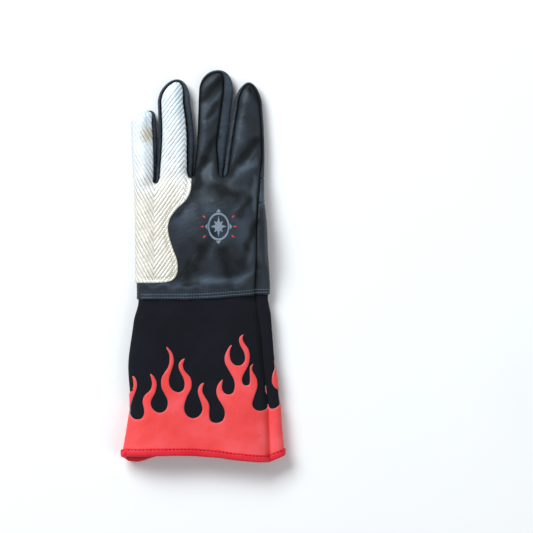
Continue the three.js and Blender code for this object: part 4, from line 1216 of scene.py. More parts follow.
def grain_leather(name, dark, light):
    n = Nodes(name)
    at = n.place()
    patches = n.noise(at, 0.045, 3.0, 0.5)
    plain = n.ramp(patches, [(0.32, dark), (0.68, light)])
    pores = n.cells(at, 0.95)
    plain = n.blend(n.math("MULTIPLY", pores, 0.3), plain, shaded(dark, 0.6))
    uneven = n.math("MULTIPLY_ADD", n.noise(at, 0.2, 3.0, 0.6), 0.5, 0.75)
    # The tone attribute, made uneven by noise: painted shade in creases, painted highlights on ridges
    tone = n.math("MULTIPLY_ADD", n.attribute("tone", "Fac"), uneven, 0.5)
    creases = n.ramp(n.math("MULTIPLY", tone, 0.5), [(0.25, 0.0), (0.43, 0.56), (0.7, 0.94)])
    plain = n.blend(creases, plain, PAINTED_CREASE_SHADE)
    highlight_mask = n.ramp(n.math("SUBTRACT", 1.0, tone), [(0.5, 0.0), (1.0, 0.8)])
    colour = n.blend(highlight_mask, plain, PAINTED_HIGHLIGHT)
    worn = n.ramp(n.noise(at, 0.13, 4.0, 0.55), [(0.35, 0.42), (0.7, 0.52)])
    worn = n.math("MULTIPLY_ADD", creases, 0.3, worn)
    pebble = n.bump(n.cells(at, 0.8, "SMOOTH_F1"), 0.48, 0.22)
    fine = n.bump(n.noise(at, 2.6, 4.0, 0.6), 0.3, 0.10, pebble)
    away = n.math("ABSOLUTE", n.math("SUBTRACT", n.noise(at, 0.07, 2.0, 0.5), 0.5))
    creased = n.bump(n.ramp(away, [(0.0, 0.0), (0.03, 1.0)]), 0.12, 0.3, fine)
    slack = n.bump(n.noise(at, 0.11, 2.0, 0.45), 0.3, 1.1, creased)
    return n.finish(colour, worn, slack, Specular_IOR_Level=0.24, Specular_Tint=(0.74, 0.9, 1.0, 1.0))


def suede_leather(name, dark, light):
    n = Nodes(name)
    at = n.place()
    nap = n.noise(at, 1.6, 6.0, 0.72)
    patches = n.noise(at, 0.045, 3.0, 0.6)
    tone = n.ramp(patches, [(0.3, dark), (0.72, light)])
    colour = n.blend(n.ramp(nap, [(0.35, 0.0), (0.75, 0.6)]), tone, shaded(light, 1.7))
    fuzz = n.bump(nap, 0.7, 0.25)
    return n.finish(colour, 1.0, fuzz, Specular_IOR_Level=0.12, Sheen_Weight=0.03, Sheen_Roughness=0.6)


def red_leather(name, base, pale, deep):
    n = Nodes(name)
    at = n.place()
    clouds = n.ramp(n.noise(at, 0.035, 3.0, 0.55), [(0.3, deep), (0.5, base), (0.72, pale)])
    rub = n.ramp(n.noise(at, 0.5, 5.0, 0.7), [(0.45, 0.0), (0.8, 0.35)])
    rubbed = n.blend(rub, clouds, pale)
    specks = n.ramp(n.cells(at, 0.11), [(0.05, 1.0), (0.085, 0.0)])
    chosen = n.ramp(n.noise(at, 0.07, 1.0), [(0.5, 0.0), (0.56, 0.8)])
    colour = n.blend(n.math("MULTIPLY", specks, chosen), rubbed, (0.09, 0.01, 0.012))
    worn = n.ramp(n.noise(at, 0.2, 4.0, 0.6), [(0.3, 0.42), (0.7, 0.6)])
    grain = n.bump(n.noise(at, 2.2, 4.0, 0.6), 0.18, 0.10)
    normal = n.bump(n.cells(at, 1.3, "SMOOTH_F1"), 0.12, 0.12, grain)
    return n.finish(colour, worn, normal, Specular_IOR_Level=0.25)


def plain_leather(name, colour, rough):
    n = Nodes(name)
    at = n.place()
    tone = n.ramp(n.noise(at, 1.1, 5.0, 0.7), [(0.3, shaded(colour, 0.75)), (0.7, shaded(colour, 1.2))])
    return n.finish(tone, rough, n.bump(n.noise(at, 2.4, 5.0, 0.7), 0.5, 0.2))


def thread(name, colour):
    n = Nodes(name)
    ply = n.add("ShaderNodeTexWave", bands_direction="DIAGONAL", Scale=1.6)
    n.link(n.place(), ply.inputs["Vector"])
    tone = n.blend(ply.outputs["Fac"], shaded(colour, 0.6), colour)
    return n.finish(tone, 0.65, n.bump(ply.outputs["Fac"], 0.4, 0.08), Specular_IOR_Level=0.2)


WEAVE_COLUMN = 25.6  # width of one column of the herringbone
WEAVE_PITCH = (5.7, 4.75)  # of its ribs along the finger, left and right of the first spine
WEAVE_SLOPE = (1.85, 1.42)  # how steeply they run down, left and right of it
WEAVE_SPINE = -41.8  # where a column begins, in the glove's own frame
BENT = {"centre": (-47.5, 143.0, 0), "reach": 10, "colour": (0.66, 0.56, 0.38)}
HEATED = {"centre": (-29.5, 97, 0), "reach": 19, "colour": (0.80, 0.73, 0.56)}
CLOTH_SIDE_PAINTED_SHADE = (0.36, 0.38, 0.42)  # painted shade where the cloth turns down round the little finger's side
# The colour that the grooves between the ribs darken towards
CLOTH_GROOVE_DARK = (0.19, 0.20, 0.21)
# Its face from the wrist to the fingertips: warmer at the wrist, bluish at the tips as painted reflection
CLOTH_TINT_AND_PAINTED_REFLECTION = [
    (0.02, (0.80, 0.75, 0.65)), (0.14, (0.80, 0.80, 0.76)), (0.28, (0.83, 0.87, 0.89)),
    (0.75, (0.74, 0.86, 0.93)),
]


def herringbone(name):
    """Aluminized cloth: ribs that turn back at each spine, in the cloth's own coordinates."""
    n = Nodes(name)
    cloth = n.attribute("weave", "Vector")
    split = n.add("ShaderNodeSeparateXYZ")
    n.link(cloth, split.inputs["Vector"])
    across, along, cut = split.outputs["X"], split.outputs["Y"], split.outputs["Z"]
    fold = n.math("PINGPONG", n.math("SUBTRACT", across, WEAVE_SPINE), WEAVE_COLUMN)
    left = n.math("LESS_THAN", across, WEAVE_SPINE)
    slope = n.math("MULTIPLY_ADD", left, WEAVE_SLOPE[1] - WEAVE_SLOPE[0], -WEAVE_SLOPE[1])
    pitch = n.math("MULTIPLY_ADD", left, WEAVE_PITCH[0] - WEAVE_PITCH[1], WEAVE_PITCH[1])
    slant = n.math("DIVIDE", n.math("MULTIPLY_ADD", fold, slope, along), pitch)
    uneven = n.math("MULTIPLY", n.noise(cloth, 0.16, 2.0), 1.8)
    wave = n.math("SINE", n.math("MULTIPLY_ADD", slant, 2 * math.pi, uneven))
    rib = n.math("MULTIPLY_ADD", wave, 0.5, 0.5)
    yarn = n.noise(cloth, 1.7, 3.0, 0.65)
    bent = n.away_from(cloth, BENT["centre"], BENT["reach"])
    heated = n.away_from(cloth, HEATED["centre"], HEATED["reach"])
    little = n.math("MULTIPLY", left, n.math("DIVIDE", along, 200))
    worn = n.ramp(n.noise(cloth, 0.07, 3.0, 0.6), [(0.36, 0.4), (0.6, 1.0)])
    worn = n.math("MULTIPLY", worn, n.math("SUBTRACT", 1.0, cut))
    worn = n.math("MULTIPLY", worn, n.ramp(little, [(0.53, 1.0), (0.62, 0.35)]))
    worn = n.math("MAXIMUM", worn, n.ramp(bent, [(0.4, 1.0), (0.95, 0.0)]))
    height = n.math("MULTIPLY_ADD", along, 0.01, -0.85)
    patches = n.math("MULTIPLY_ADD", n.noise(n.place(), 0.04, 3.0, 0.6), 0.7, -0.35)
    # Warmer at the wrist and bluish towards the fingertips, the blue a painted reflection of cool light
    tint = n.ramp(n.math("ADD", height, patches), CLOTH_TINT_AND_PAINTED_REFLECTION)
    # Painted shade: greyer where the cloth turns down round the little finger's side
    side = n.ramp(n.math("DIVIDE", across, -100), [(0.585, 0.0), (0.65, 0.85)])
    tint = n.blend(side, tint, CLOTH_SIDE_PAINTED_SHADE)
    tint = n.blend(n.ramp(heated, [(0.2, 0.6), (1.0, 0.0)]), tint, HEATED["colour"])
    tint = n.blend(n.ramp(bent, [(0.2, 0.8), (1.0, 0.0)]), tint, BENT["colour"])
    # Darker in the grooves between the ribs, unevenly
    groove = n.ramp(rib, [(0.0, 1.0), (0.3, 0.0)])
    groove_dark = n.math("MULTIPLY", n.math("MULTIPLY", groove, worn), n.math("MULTIPLY_ADD", yarn, 0.9, 0.4))
    ribs = n.bump(n.math("ADD", rib, n.math("MULTIPLY", yarn, 0.5)), 0.8, 0.4)
    return n.finish(n.blend(groove_dark, tint, CLOTH_GROOVE_DARK), 0.4, ribs, Metallic=0.15)


def print_ink(name, colour):
    n = Nodes(name)
    at = n.place()
    worn = n.ramp(n.noise(at, 1.4, 5.0, 0.7), [(0.35, shaded(colour, 0.6)), (0.6, colour)])
    return n.finish(worn, 0.6, n.bump(n.noise(at, 2.2, 4.0, 0.6), 0.3, 0.1))


def floor_material():
    n = Nodes("floor")
    return n.finish(n.ramp(n.noise(n.place(), 0.006, 2.0), [(0.3, 0.94), (0.7, 0.96)]), 0.9)


BLACK = grain_leather("black_grain", (0.0195, 0.0215, 0.0265), (0.034, 0.041, 0.053))
# A paler, bluer copy of the black grain leather for the strips between the fingers and along the index: a
# painted highlight
STRIP_PAINTED_PALE = grain_leather("strip_grain", (0.028, 0.036, 0.049), (0.062, 0.082, 0.112))
FLESH = plain_leather("flesh_side", (0.10, 0.10, 0.105), 0.95)
SUEDE_BLACK = suede_leather("black_suede", (0.0045, 0.0052, 0.0078), (0.0072, 0.0082, 0.012))
RED = red_leather("red_flames", (0.85, 0.066, 0.066), (0.87, 0.10, 0.11), (0.80, 0.05, 0.046))
RED_EDGE = plain_leather("cut_edge", (0.42, 0.30, 0.31), 0.9)
CRIMSON = red_leather("crimson_binding", (0.72, 0.016, 0.034), (0.78, 0.022, 0.044), (0.62, 0.01, 0.024))
SILVER = herringbone("aluminized_cloth")
SILVER_EDGE = plain_leather("cloth_edge", (0.86, 0.88, 0.88), 0.6)
SCRIM = plain_leather("cloth_back", (0.45, 0.42, 0.36), 0.95)
# Black thread, coloured a pale blue-grey: a painted highlight of the cool light on it
BLACK_THREAD_PAINTED_SHEEN = thread("black_thread", (0.19, 0.27, 0.37))
THREAD_TAN = thread("tan_thread", (0.42, 0.46, 0.34))
THREAD_RED = thread("red_thread", (0.30, 0.005, 0.014))
INK_GREY = print_ink("grey_ink", (0.20, 0.275, 0.345))
INK_RED = print_ink("red_ink", (0.60, 0.05, 0.06))

# The sewn pieces of the hand


def hand_skin():
    shares = [np.linspace(0, 0.06, 16), np.linspace(0.07, 1, int(0.95 * HAND_LENGTH / STEP))]
    shares = np.unique(np.concatenate([*shares, [CROSS_SEAM]]))
    rings = body_rings(hand_line, shares, True)
    cross = int(np.searchsorted(shares, CROSS_SEAM))
    sheets = [
        (rings["back"], "back_panel"),
        (rings["left"], "back_panel"),
        (rings["palm"], "palm_panel"),
        (rings["right"][: cross + 1], "thumb_gusset"),
        (rings["right"][cross:], "index_side"),
    ]
    turned, pinned = [], []
    forks = [f"fourchette_{a['name']}_{b['name']}" for a, b in zip(FINGERS, FINGERS[1:])]
    for f, finger in enumerate(FINGERS):
        along = np.linspace(0, 1, int(finger["length"] * 0.8 / STEP)) ** 1.25
        stops = np.concatenate([along, 1 + eased(TIP_STEPS)[1:]])
        around = finger_rings(f, stops, finger_columns(finger["width"]))
        sheets += [
            (around["back"], "back_panel"),
            (around["palm"], "palm_panel"),
            (around["right"], forks[f] if f < LAST else "index_side"),
            (around["left"], forks[f - 1] if f > 0 else "back_panel"),
        ]
        pinned += [*around["right"][-1, 1:-1], *around["left"][-1, 1:-1]]
        if f < LAST:
            fork = around["right"][0]
            for k, point in enumerate(fork):
                up = FORK_LEAN * ((k == 0) - (k == len(fork) - 1))
                turned.append((point, (0, 1, up)))
    return Skin(sheets, turned, pinned), forks


def sewn_pieces(skin, faces, thickness):
    """The pieces of a skin. faces has their names, each with its outer material."""
    normals = skin.normals()
    for name, face in faces.items():
        points, quads, sides = shell(
            skin.points, normals, skin.faces[name], 0.0, -thickness, pinned=skin.pinned
        )
        # tone: painted shade and painted highlights, which the grain leather's colour reads
        piece = make(name, points, quads, [face, face, FLESH], sides, tone=painted_light_at(points))
        stands_for(piece, name)


hand, FORKS = hand_skin()
HAND_FACES = {"back_panel": BLACK, "palm_panel": BLACK, "index_side": STRIP_PAINTED_PALE, "thumb_gusset": BLACK}
sewn_pieces(hand, {**HAND_FACES, **dict.fromkeys(FORKS, STRIP_PAINTED_PALE)}, LEATHER)

# The gauntlet


def cuff_skin():
    shares = np.concatenate([np.linspace(0, 0.03, 5), np.linspace(0.04, 1, int(CUFF_LENGTH / STEP))])
    rings = body_rings(cuff_line, shares, False, cuff=True)
    skin = Skin([
        (rings["back"], "cuff_back"),
        (rings["left"], "cuff_back"),
        (rings["palm"], "cuff_palm"),
        (rings["right"], "cuff_gusset"),
    ])
    normals = skin.normals()
    x, y = skin.points[:, 0], skin.points[:, 1]
    under = LEATHER + LAY_GAP + TUCK_ROOM
    tucked = smooth((y - hem_line(x)) / TUCK_SLOPE + TUCK_START)
    skin.points = skin.points - normals * (under * tucked)[:, None]
    return skin, rings


cuff, CUFF_RINGS = cuff_skin()
CUFF_FACES = dict.fromkeys(("cuff_back", "cuff_palm", "cuff_gusset"), SUEDE_BLACK)
sewn_pieces(cuff, CUFF_FACES, SUEDE)

# Pieces laid on the leather: a plan outline filled with even triangles and lifted onto the skin

LAID_ROLL = 0.5  # how wide their edges roll down
LAID_BULGE = 0.12  # and how far they stand out
LAID_UNDER = 0.4  # share of LAY_GAP that stays free under them

# How fill() spaces its points, against the spacing that it is given
OUTLINE_STEP = 1.5
OUTLINE_CHECK = 0.5  # along an outline, to measure the room beside it
LINE_ROOM = 0.4  # between an outline and a line's points
GRID_ROOM = 0.6  # between either of them and the points of the grid
GRID_ROW = 0.866  # between the rows of the grid


def resampled(points, step, closed=False):
    """The same line with points no further apart than this."""
    p = np.asarray(points, float)
    ends = np.vstack([p, p[:1]]) if closed else p
    out = []
    for a, b in zip(ends[:-1], ends[1:]):
        count = max(math.ceil(np.linalg.norm(b - a) / step), 1)
        out.append(a + (b - a) * (np.arange(count) / count)[:, None])
    return np.vstack(out + ([] if closed else [p[-1:]]))


def within(points, loop):
    """Which plan points lie inside a closed line."""
    x, y = points[:, 0], points[:, 1]
    found = np.zeros(len(points), bool)
    for (x1, y1), (x2, y2) in zip(loop, np.roll(loop, -1, axis=0)):
        if y1 != y2:
            found ^= ((y1 > y) != (y2 > y)) & (x < x1 + (y - y1) * (x2 - x1) / (y2 - y1))
    return found


def plan_tree(points):
    return as_tree(np.column_stack([points, np.zeros(len(points))]))


def nearest(tree, points):
    return np.array([tree.find((x, y, 0))[2] for x, y in points])


def fill(outlines, spacing, lines=()):
    """Plan points and triangles that fill what some outlines have in common. Points are also set
    along the lines, and no input point is moved."""
    outlines = [resampled(outline, OUTLINE_STEP * spacing, True) for outline in outlines]
    lines = [resampled(line, spacing) for line in lines]
    low_x, low_y = outlines[0].min(axis=0)
    high_x, high_y = outlines[0].max(axis=0)
    grid_x, grid_y = np.meshgrid(
        np.arange(low_x, high_x, spacing), np.arange(low_y, high_y, spacing * GRID_ROW)
    )
    grid_x[1::2] += spacing / 2
    grid = np.column_stack([grid_x.ravel(), grid_y.ravel()])
    for outline in outlines:
        grid = grid[within(grid, outline)]
        lines = [line[within(line, outline)] for line in lines]
    checks = [resampled(outline, OUTLINE_CHECK * spacing, True) for outline in outlines]
    edges = plan_tree(np.vstack(checks))
    lines = [line[nearest(edges, line) > LINE_ROOM * spacing] for line in lines if len(line)]
    grid = grid[nearest(edges, grid) > GRID_ROOM * spacing]
    if lines:
        grid = grid[nearest(plan_tree(np.vstack(lines)), grid) > GRID_ROOM * spacing]
    points = np.vstack([*outlines, *lines, grid])
    loops, start = [], 0
    for outline in outlines:
        loops.append(list(range(start, start + len(outline))))
        start += len(outline)
    made, _, faces, old, _, _ = delaunay_2d_cdt(
        [Vector(point) for point in points], [], loops, 0, 1e-4
    )
    plan = np.array([points[ids[0]] if len(ids) else tuple(at) for at, ids in zip(made, old)])
    faces = np.array(faces)
    centre = plan[faces].mean(axis=1)
    for outline in outlines:
        kept = within(centre, outline)
        faces, centre = faces[kept], centre[kept]
    used, inverse = np.unique(faces, return_inverse=True)
    triangles = inverse.reshape(-1, 3)
    plan = plan[used]
    a, b, c = (plan[triangles[:, k]] for k in range(3))
    turned = (b[:, 0] - a[:, 0]) * (c[:, 1] - a[:, 1]) < (b[:, 1] - a[:, 1]) * (c[:, 0] - a[:, 0])
    triangles[turned] = triangles[turned][:, ::-1]
    return plan, triangles[:, [0, 1, 2, 2]]


def lifted(outlines, spacing, lift, lines=()):
    """What some outlines have in common, filled and raised onto the skin."""
    plan, triangles = fill(outlines, spacing, lines)
    return as_points(*plan.T, lift(*plan.T)), triangles


def laid(name, parts, materials, thickness, weave=None, sink=None):
    """A piece that lies on the leather. parts are (points, faces) that join edge to edge, sink is
    how far each point is drawn in, and weave is its place in the cloth."""
    points, first, faces = weld(parts)
    faces = np.vstack(faces)
    normals = vertex_normals(points, faces)
    if sink is not None:
        points = points - normals * sink[first][:, None]
    walls, quads, sides = shell(
        points, normals, faces, LAY_GAP + thickness, LAY_GAP * LAID_UNDER, LAID_ROLL, 0.0, LAID_BULGE
    )
    if weave is not None:
        weave = shell_values(weave[first], faces)
    return make(name, walls, quads, materials, sides, weave)


# The heat patch, over two fingers and the little finger's side of the hand

PATCH_STEP = 0.8
PATCH_SIDE = 0.15  # inside the little finger's inner seam
PATCH_CUT = (1.6, 2.4)  # the grooves' darkening is whole from this many times this width inside its cut edge
FOLD_ROOM = 0.4  # between its seams and the fold round the little finger's side


def inner_edge(f, v, u, border):
    """A finger's edge, drawn in from the back's seam."""
    x, y = finger_plan(f, v, u, "back")
    axis_x, axis_y = finger_plan(f, np.minimum(v, 1), 0.5, "back")
    share = 1 - border / np.maximum(np.hypot(x - axis_x, y - axis_y), border)
    return np.column_stack([mix(axis_x, x, share), mix(axis_y, y, share)])


def patch_sides():
    """Rows round the edge of the hand and the little finger, from the wrist to the fingertip."""
    low_y = PATCH_EDGE[-1][1] * HAND_LENGTH
    root_y = float(finger_plan(0, 0.0, 0, "back")[1])
    y = np.linspace(low_y, root_y, int((root_y - low_y) / ROW_STEP))[:-1]
    x = {seams: body_edges(y, seams)[0] for seams in ("back", "palm")}
    top, bottom = (as_points(x[seams], y, on_skin(x[seams], y, seams)) for seams in ("back", "palm"))
    hand_rows = round_side(top, left_edge(y), y, bottom, True)
    stops = np.concatenate([np.linspace(0, 1, 40), 1 + eased(TIP_STEPS)[1:]])
    finger_rows = finger_rings(0, stops, np.array([0.0, 1.0]))["left"][:, ::-1]
    return np.concatenate([hand_rows, finger_rows])


def finger_turn(x, y):
    """How far round the end of its finger each point of the back is, as finger_plan's v."""
    out = np.zeros(np.shape(x))
    for f, finger in enumerate(FINGERS):
        end = finger["end"] * finger["width"]
        line = HAND_LENGTH + finger["length"] - end
        reach = clamp((y - line) / (end - TIP_SEAM)) ** (finger["curve"] / 2)
        here = (x >= LINES[f]["at"](y)) & (x < LINES[f + 1]["at"](y))
        out = np.where(here, 1 + np.arcsin(clamp(reach)) / (math.pi / 2), out)
    return out


def on_hand(x, y):
    return on_skin(x, y, "back", finger_turn(x, y))


def left_of(line):
    """Unit vectors to the left of a plan line."""
    way = unit(np.gradient(line, axis=0))
    return np.column_stack([-way[:, 1], way[:, 0]])


def offset_line(line, away):
    """A plan line moved to its left."""
    return line + left_of(line) * away


def surface_area(points, faces):
    points = np.asarray(points).reshape(-1, 3)
    a, b, c, d = (points[faces[:, k]] for k in (0, 1, 2, -1))
    return 0.5 * np.linalg.norm(np.cross(c - a, d - b), axis=1).sum()


def patch():
    sides = patch_sides()
    fold = sides[:, 0]
    half = PALM_WIDTH / 2
    edge = curved([(x * half, y * HAND_LENGTH) for x, y in PATCH_EDGE], 10)
    stops = np.concatenate([np.linspace(0.02, 1, 60), 1 + eased(TIP_STEPS)[1:-1]])
    little = inner_edge(0, np.append(stops, 1.985), 1, PATCH_SIDE)
    right = inner_edge(1, stops, 1, PATCH_BORDER[1])
    left = inner_edge(1, stops, 0, PATCH_BORDER[0])
    aside, up, radius = PATCH_NOTCH
    centre = np.array([LINES[1]["x"] + aside, LINES[1]["y"] + up])
    turn = np.linspace(0, -math.pi, 13)
    notch = centre + radius * np.column_stack([np.cos(turn), np.sin(turn)])
    outline = np.vstack([
        edge[::-1], PATCH_CORNER[::-1], right[right[:, 1] > PATCH_CORNER[0][1] + 1],
        left[left[:, 1] > centre[1] + 1][::-1], notch, little[little[:, 1] > centre[1] + 1],
        fold[::-1, :2],
    ])
    fold_x = fold[0, 0] + FOLD_ROOM
    seam = curved(resampled(np.vstack([edge, [(fold_x, fold[0, 1])]]), 4.0), 4)
    lines = [offset_line(seam, -away) for away in PATCH_ROWS]
    lines = [line[line[:, 0] > fold_x] for line in lines]
    back, triangles = lifted([outline], PATCH_STEP, on_hand, lines)
    plan = back[:, :2]
    arcs = np.cumsum(np.linalg.norm(np.diff(sides, axis=1), axis=2), axis=1)
    arcs = np.column_stack([np.zeros(len(arcs)), arcs])
    side_weave = fold[:, None, :2] + left_of(fold[:, :2])[:, None] * arcs[..., None]
    side_weave = side_weave[:, ::-1].reshape(-1, 2)
    plain = np.zeros(len(side_weave))
    cut = clamp(PATCH_CUT[0] - to_segments(*plan.T, as_segments(edge)) / PATCH_CUT[1])
    weave = np.column_stack([np.vstack([plan, side_weave]), np.append(cut, plain)])
    rows = plan_tree(np.vstack([resampled(line, 0.4) for line in lines]))
    sink = np.append(PATCH_DIP * np.exp(-((nearest(rows, plan) / ROW_WIDTH) ** 2)), plain)
    parts = [(back, triangles), (sides[:, ::-1], grid_faces(sides))]
    piece = laid("heat_patch", parts, [SILVER, SILVER_EDGE, SCRIM], PATCH_THICKNESS, weave, sink)
    width, length = (round(float(side) / 1000, 4) for side in np.ptp(weave[:, :2], axis=0))
    area = sum(surface_area(part, faces) for part, faces in parts) / 1e6
    return piece, lines, (width, length), round(area, 5)


heat_patch, patch_lines, patch_flat, patch_area = patch()
stands_for(heat_patch, "heat_patch")

# The flames, round the mouth of the gauntlet

FLAME_STEP = 1.0
UNDER_STEP = 1.3  # on the palm's side
FLIPPED = [1, 0, 2, 2]  # a triangle's corners, turned to face the other way
SIDE_SCALE = (30.0, 1.0)  # makes shares of the way round a side about as wide as rows


def flame_outline(side):
    """The closed plan line of the flames on the back, or mirrored for the palm."""
    corner = float(left_edge(FLAME_START)) + FOLD_INSET
    runs = [curved(run, 3)[:-1] for run in FLAME_LINES] + [FLAME_LINES[-1][-1:]]
    edge = np.vstack([[(-BEYOND, FLAME_START), (corner + 0.3, FLAME_START)], *runs])
    low_y = -1.5 * CUFF_LENGTH
    return np.vstack([edge, [(BEYOND, edge[-1, 1]), (BEYOND, low_y), (-BEYOND, low_y)]]) * (side, 1)


def flame_rings():
    """Sections of the gauntlet. One of them starts the flames on the little finger's side."""
    whole = CUFF_LENGTH + float(hem_round(0)) + HEM_OVERLAP
    start = FLAME_START + CUFF_LENGTH
    top = start / whole
    shares = np.concatenate([np.linspace(0, top, int(start / ROW_STEP)), np.linspace(top, 0.88, 90)[1:]])
    return body_rings(cuff_line, shares, False, cuff=True)


def border(grid):
    """The closed plan line round a sheet of points."""
    plan = grid[..., :2]
    return np.vstack([plan[0, :-1], plan[:-1, -1], plan[-1, :0:-1], plan[:0:-1, 0]])


def on_cuff_palm(x, y):
    return on_skin(x, y, "palm", cuff=True)


def side_fill(side, loop_of):
    """Fills a closed line on a side of the gauntlet, in flat coordinates: the share of the way
    round and the row. loop_of makes the line from a function that finds the row for a y."""
    rows = len(side)
    wide = np.linalg.norm(np.diff(side, axis=1), axis=2).sum(axis=1).max()
    step = np.arange(rows)

    def row_at(y):
        return np.interp(y, side[:, 0, 1], step)

    scale = np.array([wide, 1.0])
    up, down = np.column_stack([step * 0, step]), np.column_stack([step * 0 + 1, step])
    frame = np.vstack([down, up[::-1]]) * scale
    plan, triangles = fill([frame, loop_of(row_at) * scale], FLAME_STEP)
    share, row = plan[:, 0] / wide, plan[:, 1]
    low_row = np.clip(row.astype(int), 0, rows - 2)
    column = np.interp(share, SIDE, np.arange(len(SIDE)))
    low_column = np.clip(column.astype(int), 0, len(SIDE) - 2)
    a, b = (row - low_row)[:, None], (column - low_column)[:, None]
    points = mix(
        mix(side[low_row, low_column], side[low_row, low_column + 1], b),
        mix(side[low_row + 1, low_column], side[low_row + 1, low_column + 1], b), a,
    )
    return points, triangles


def flatten(side, row_at, points):
    """Plan points as shares of the way round a side, and rows."""
    x, y = np.asarray(points, float).T
    row = row_at(y)
    step = np.arange(len(side))
    seam = np.interp(row, step, side[:, 0, 0])
    far = np.interp(row, step, side[:, len(SIDE) // 2, 0])
    out = (x - seam) / (far - seam)
    return np.column_stack([np.where(out > 0, np.arcsin(clamp(out)) / math.pi, out / 4), row])


def left_loop(side):
    """The flames' edge round the little finger's side, and the drop that bulges into it."""

    def loop(row_at):
        share, y = curved(FLAME_LEFT, 6).T
        edge = np.column_stack([share, row_at(y)])
        edge[0] = (0, row_at(FLAME_START))
        drop = curved(FLAME_LINES[1], 3)
        drop = flatten(side, row_at, drop[(drop < FLAME_DROP).all(axis=1)][::-1])
        foot = [(1.2, edge[-1, 1]), (1.2, -5), (-0.4, -5), (-0.4, drop[0, 1])]
        return np.vstack([[(-0.2, edge[0, 1])], edge, foot, drop])

    return loop


def gusset_loop(side):
    """The flames' edge round the thumb's side, past the tongue that stands there."""

    def loop(row_at):
        def flat(points):
            return flatten(side, row_at, points)

        def under(points):
            share, y = np.asarray(points, float).T
            return np.column_stack([share, row_at(y)])

        first = flat([p for p in FLAME_LINES[-1] if p[1] < FLAME_FOOT])
        left = np.vstack([first, under(FLAME_UNDER[0]), flat(FLAME_TONGUE[0])])
        right = np.vstack([flat(FLAME_TONGUE[1]), under(FLAME_UNDER[1])])
        edge = np.vstack([curved(left * SIDE_SCALE, 4)[:-1], curved(right * SIDE_SCALE, 4)]) / SIDE_SCALE
        return np.vstack([[(-0.3, edge[0, 1] + 1)], edge, [(1.2, edge[-1, 1]), (1.2, -5), (-0.3, -5)]])

    return loop


def flames():
    rings = flame_rings()
    left = rings["left"][:, ::-1]
    left, left_faces = side_fill(left, left_loop(left))
    back = lifted([border(rings["back"]), flame_outline(1)], FLAME_STEP, on_cuff)
    palm, palm_faces = lifted([border(rings["palm"]), flame_outline(-1)], UNDER_STEP, on_cuff_palm)
    pieces = {
        "flames_back": [back, (left, left_faces[:, FLIPPED])],
        "flames_palm": [(palm, palm_faces[:, FLIPPED])],
        "flames_gusset": [side_fill(rings["right"], gusset_loop(rings["right"]))],
    }
    for name, parts in pieces.items():
        piece = laid(name, parts, [RED, RED_EDGE, FLESH], FLAME_THICKNESS)
        stands_for(piece, name)


flames()

# The binding, rolled round the mouth's edge over the leather and the flames

BINDING_OUTSIDE = LAY_GAP + FLAME_THICKNESS + LAY_GAP + BINDING_WALL


def ring_line(rings, row):
    """Points round a ring, the first of them left out."""
    return np.vstack([rings[name][row, 1:] for name in AROUND])


def around_mouth():
    """The mouth's edge, with the ways up from it and away from the leather."""
    edge, above = ring_line(CUFF_RINGS, 0), ring_line(CUFF_RINGS, 1)
    along = unit(above - edge)
    around = unit(np.roll(edge, -1, axis=0) - np.roll(edge, 1, axis=0))
    return edge, along, unit(np.cross(around, along))


def rolled_section():
    """The binding's section: away from the leather's outer side and up from the mouth's edge."""
    outer, reach = BINDING_OUTSIDE, BINDING_REACH
    inner = -(SUEDE + LAY_GAP + BINDING_WALL)
    fold = LAY_GAP + BINDING_WALL
    outside = [
        (outer - BINDING_WALL, reach), (outer - 0.45, reach + 0.12), (outer - 0.12, reach - 0.2),
        (outer - 0.12, reach - 0.7), (outer - 0.3, reach - 1.1), (outer - 0.02, reach - 1.6),
        (outer + 0.15, 0.5 * reach), (outer + 0.1, 0.22 * reach), (outer - 0.25, -0.35),
        (mix(outer, inner, 0.27), -0.86 * fold), (mix(outer, inner, 0.5), -fold),
    ]
    back = [(inner + (outer - away), up) for away, up in outside[-2::-1]]
    hollow = [(inner + BINDING_WALL, -LAY_GAP), (outer - BINDING_WALL, -LAY_GAP)]
    return np.vstack([curved(outside + back, 3), hollow])


def binding():
    edge, along, out = around_mouth()
    length = np.cumsum(np.linalg.norm(edge - np.roll(edge, 1, axis=0), axis=1))
    across, up = rolled_section().T
    swell = bumps(length, length * 0, BINDING_BUMPS)
    away = across + swell[:, None] * (across > 1)
    lift = up + bumps(length, length * 0, BINDING_RISE)[:, None]
    rings = edge[:, None] + out[:, None] * away[..., None] + along[:, None] * lift[..., None]
    rings = np.concatenate([rings, rings[:1]])
    rings = np.concatenate([rings, rings[:, :1]], axis=1)
    points, _, faces = weld([(rings, grid_faces(rings)[:, ::-1])])
    stands_for(make("cuff_binding", points, faces[0], [CRIMSON]), "cuff_binding")


binding()

# The thumb, folded under the palm

THUMB_STEP = 1.2
THUMB_SIDES = 64
THUMB_TIP = 0.5  # its thickness at the very tip, share of THUMB_THICKNESS
THUMB_POWERS = {"end": 0.8, "across": 0.7, "up": 0.5}  # how round it is along, across and up


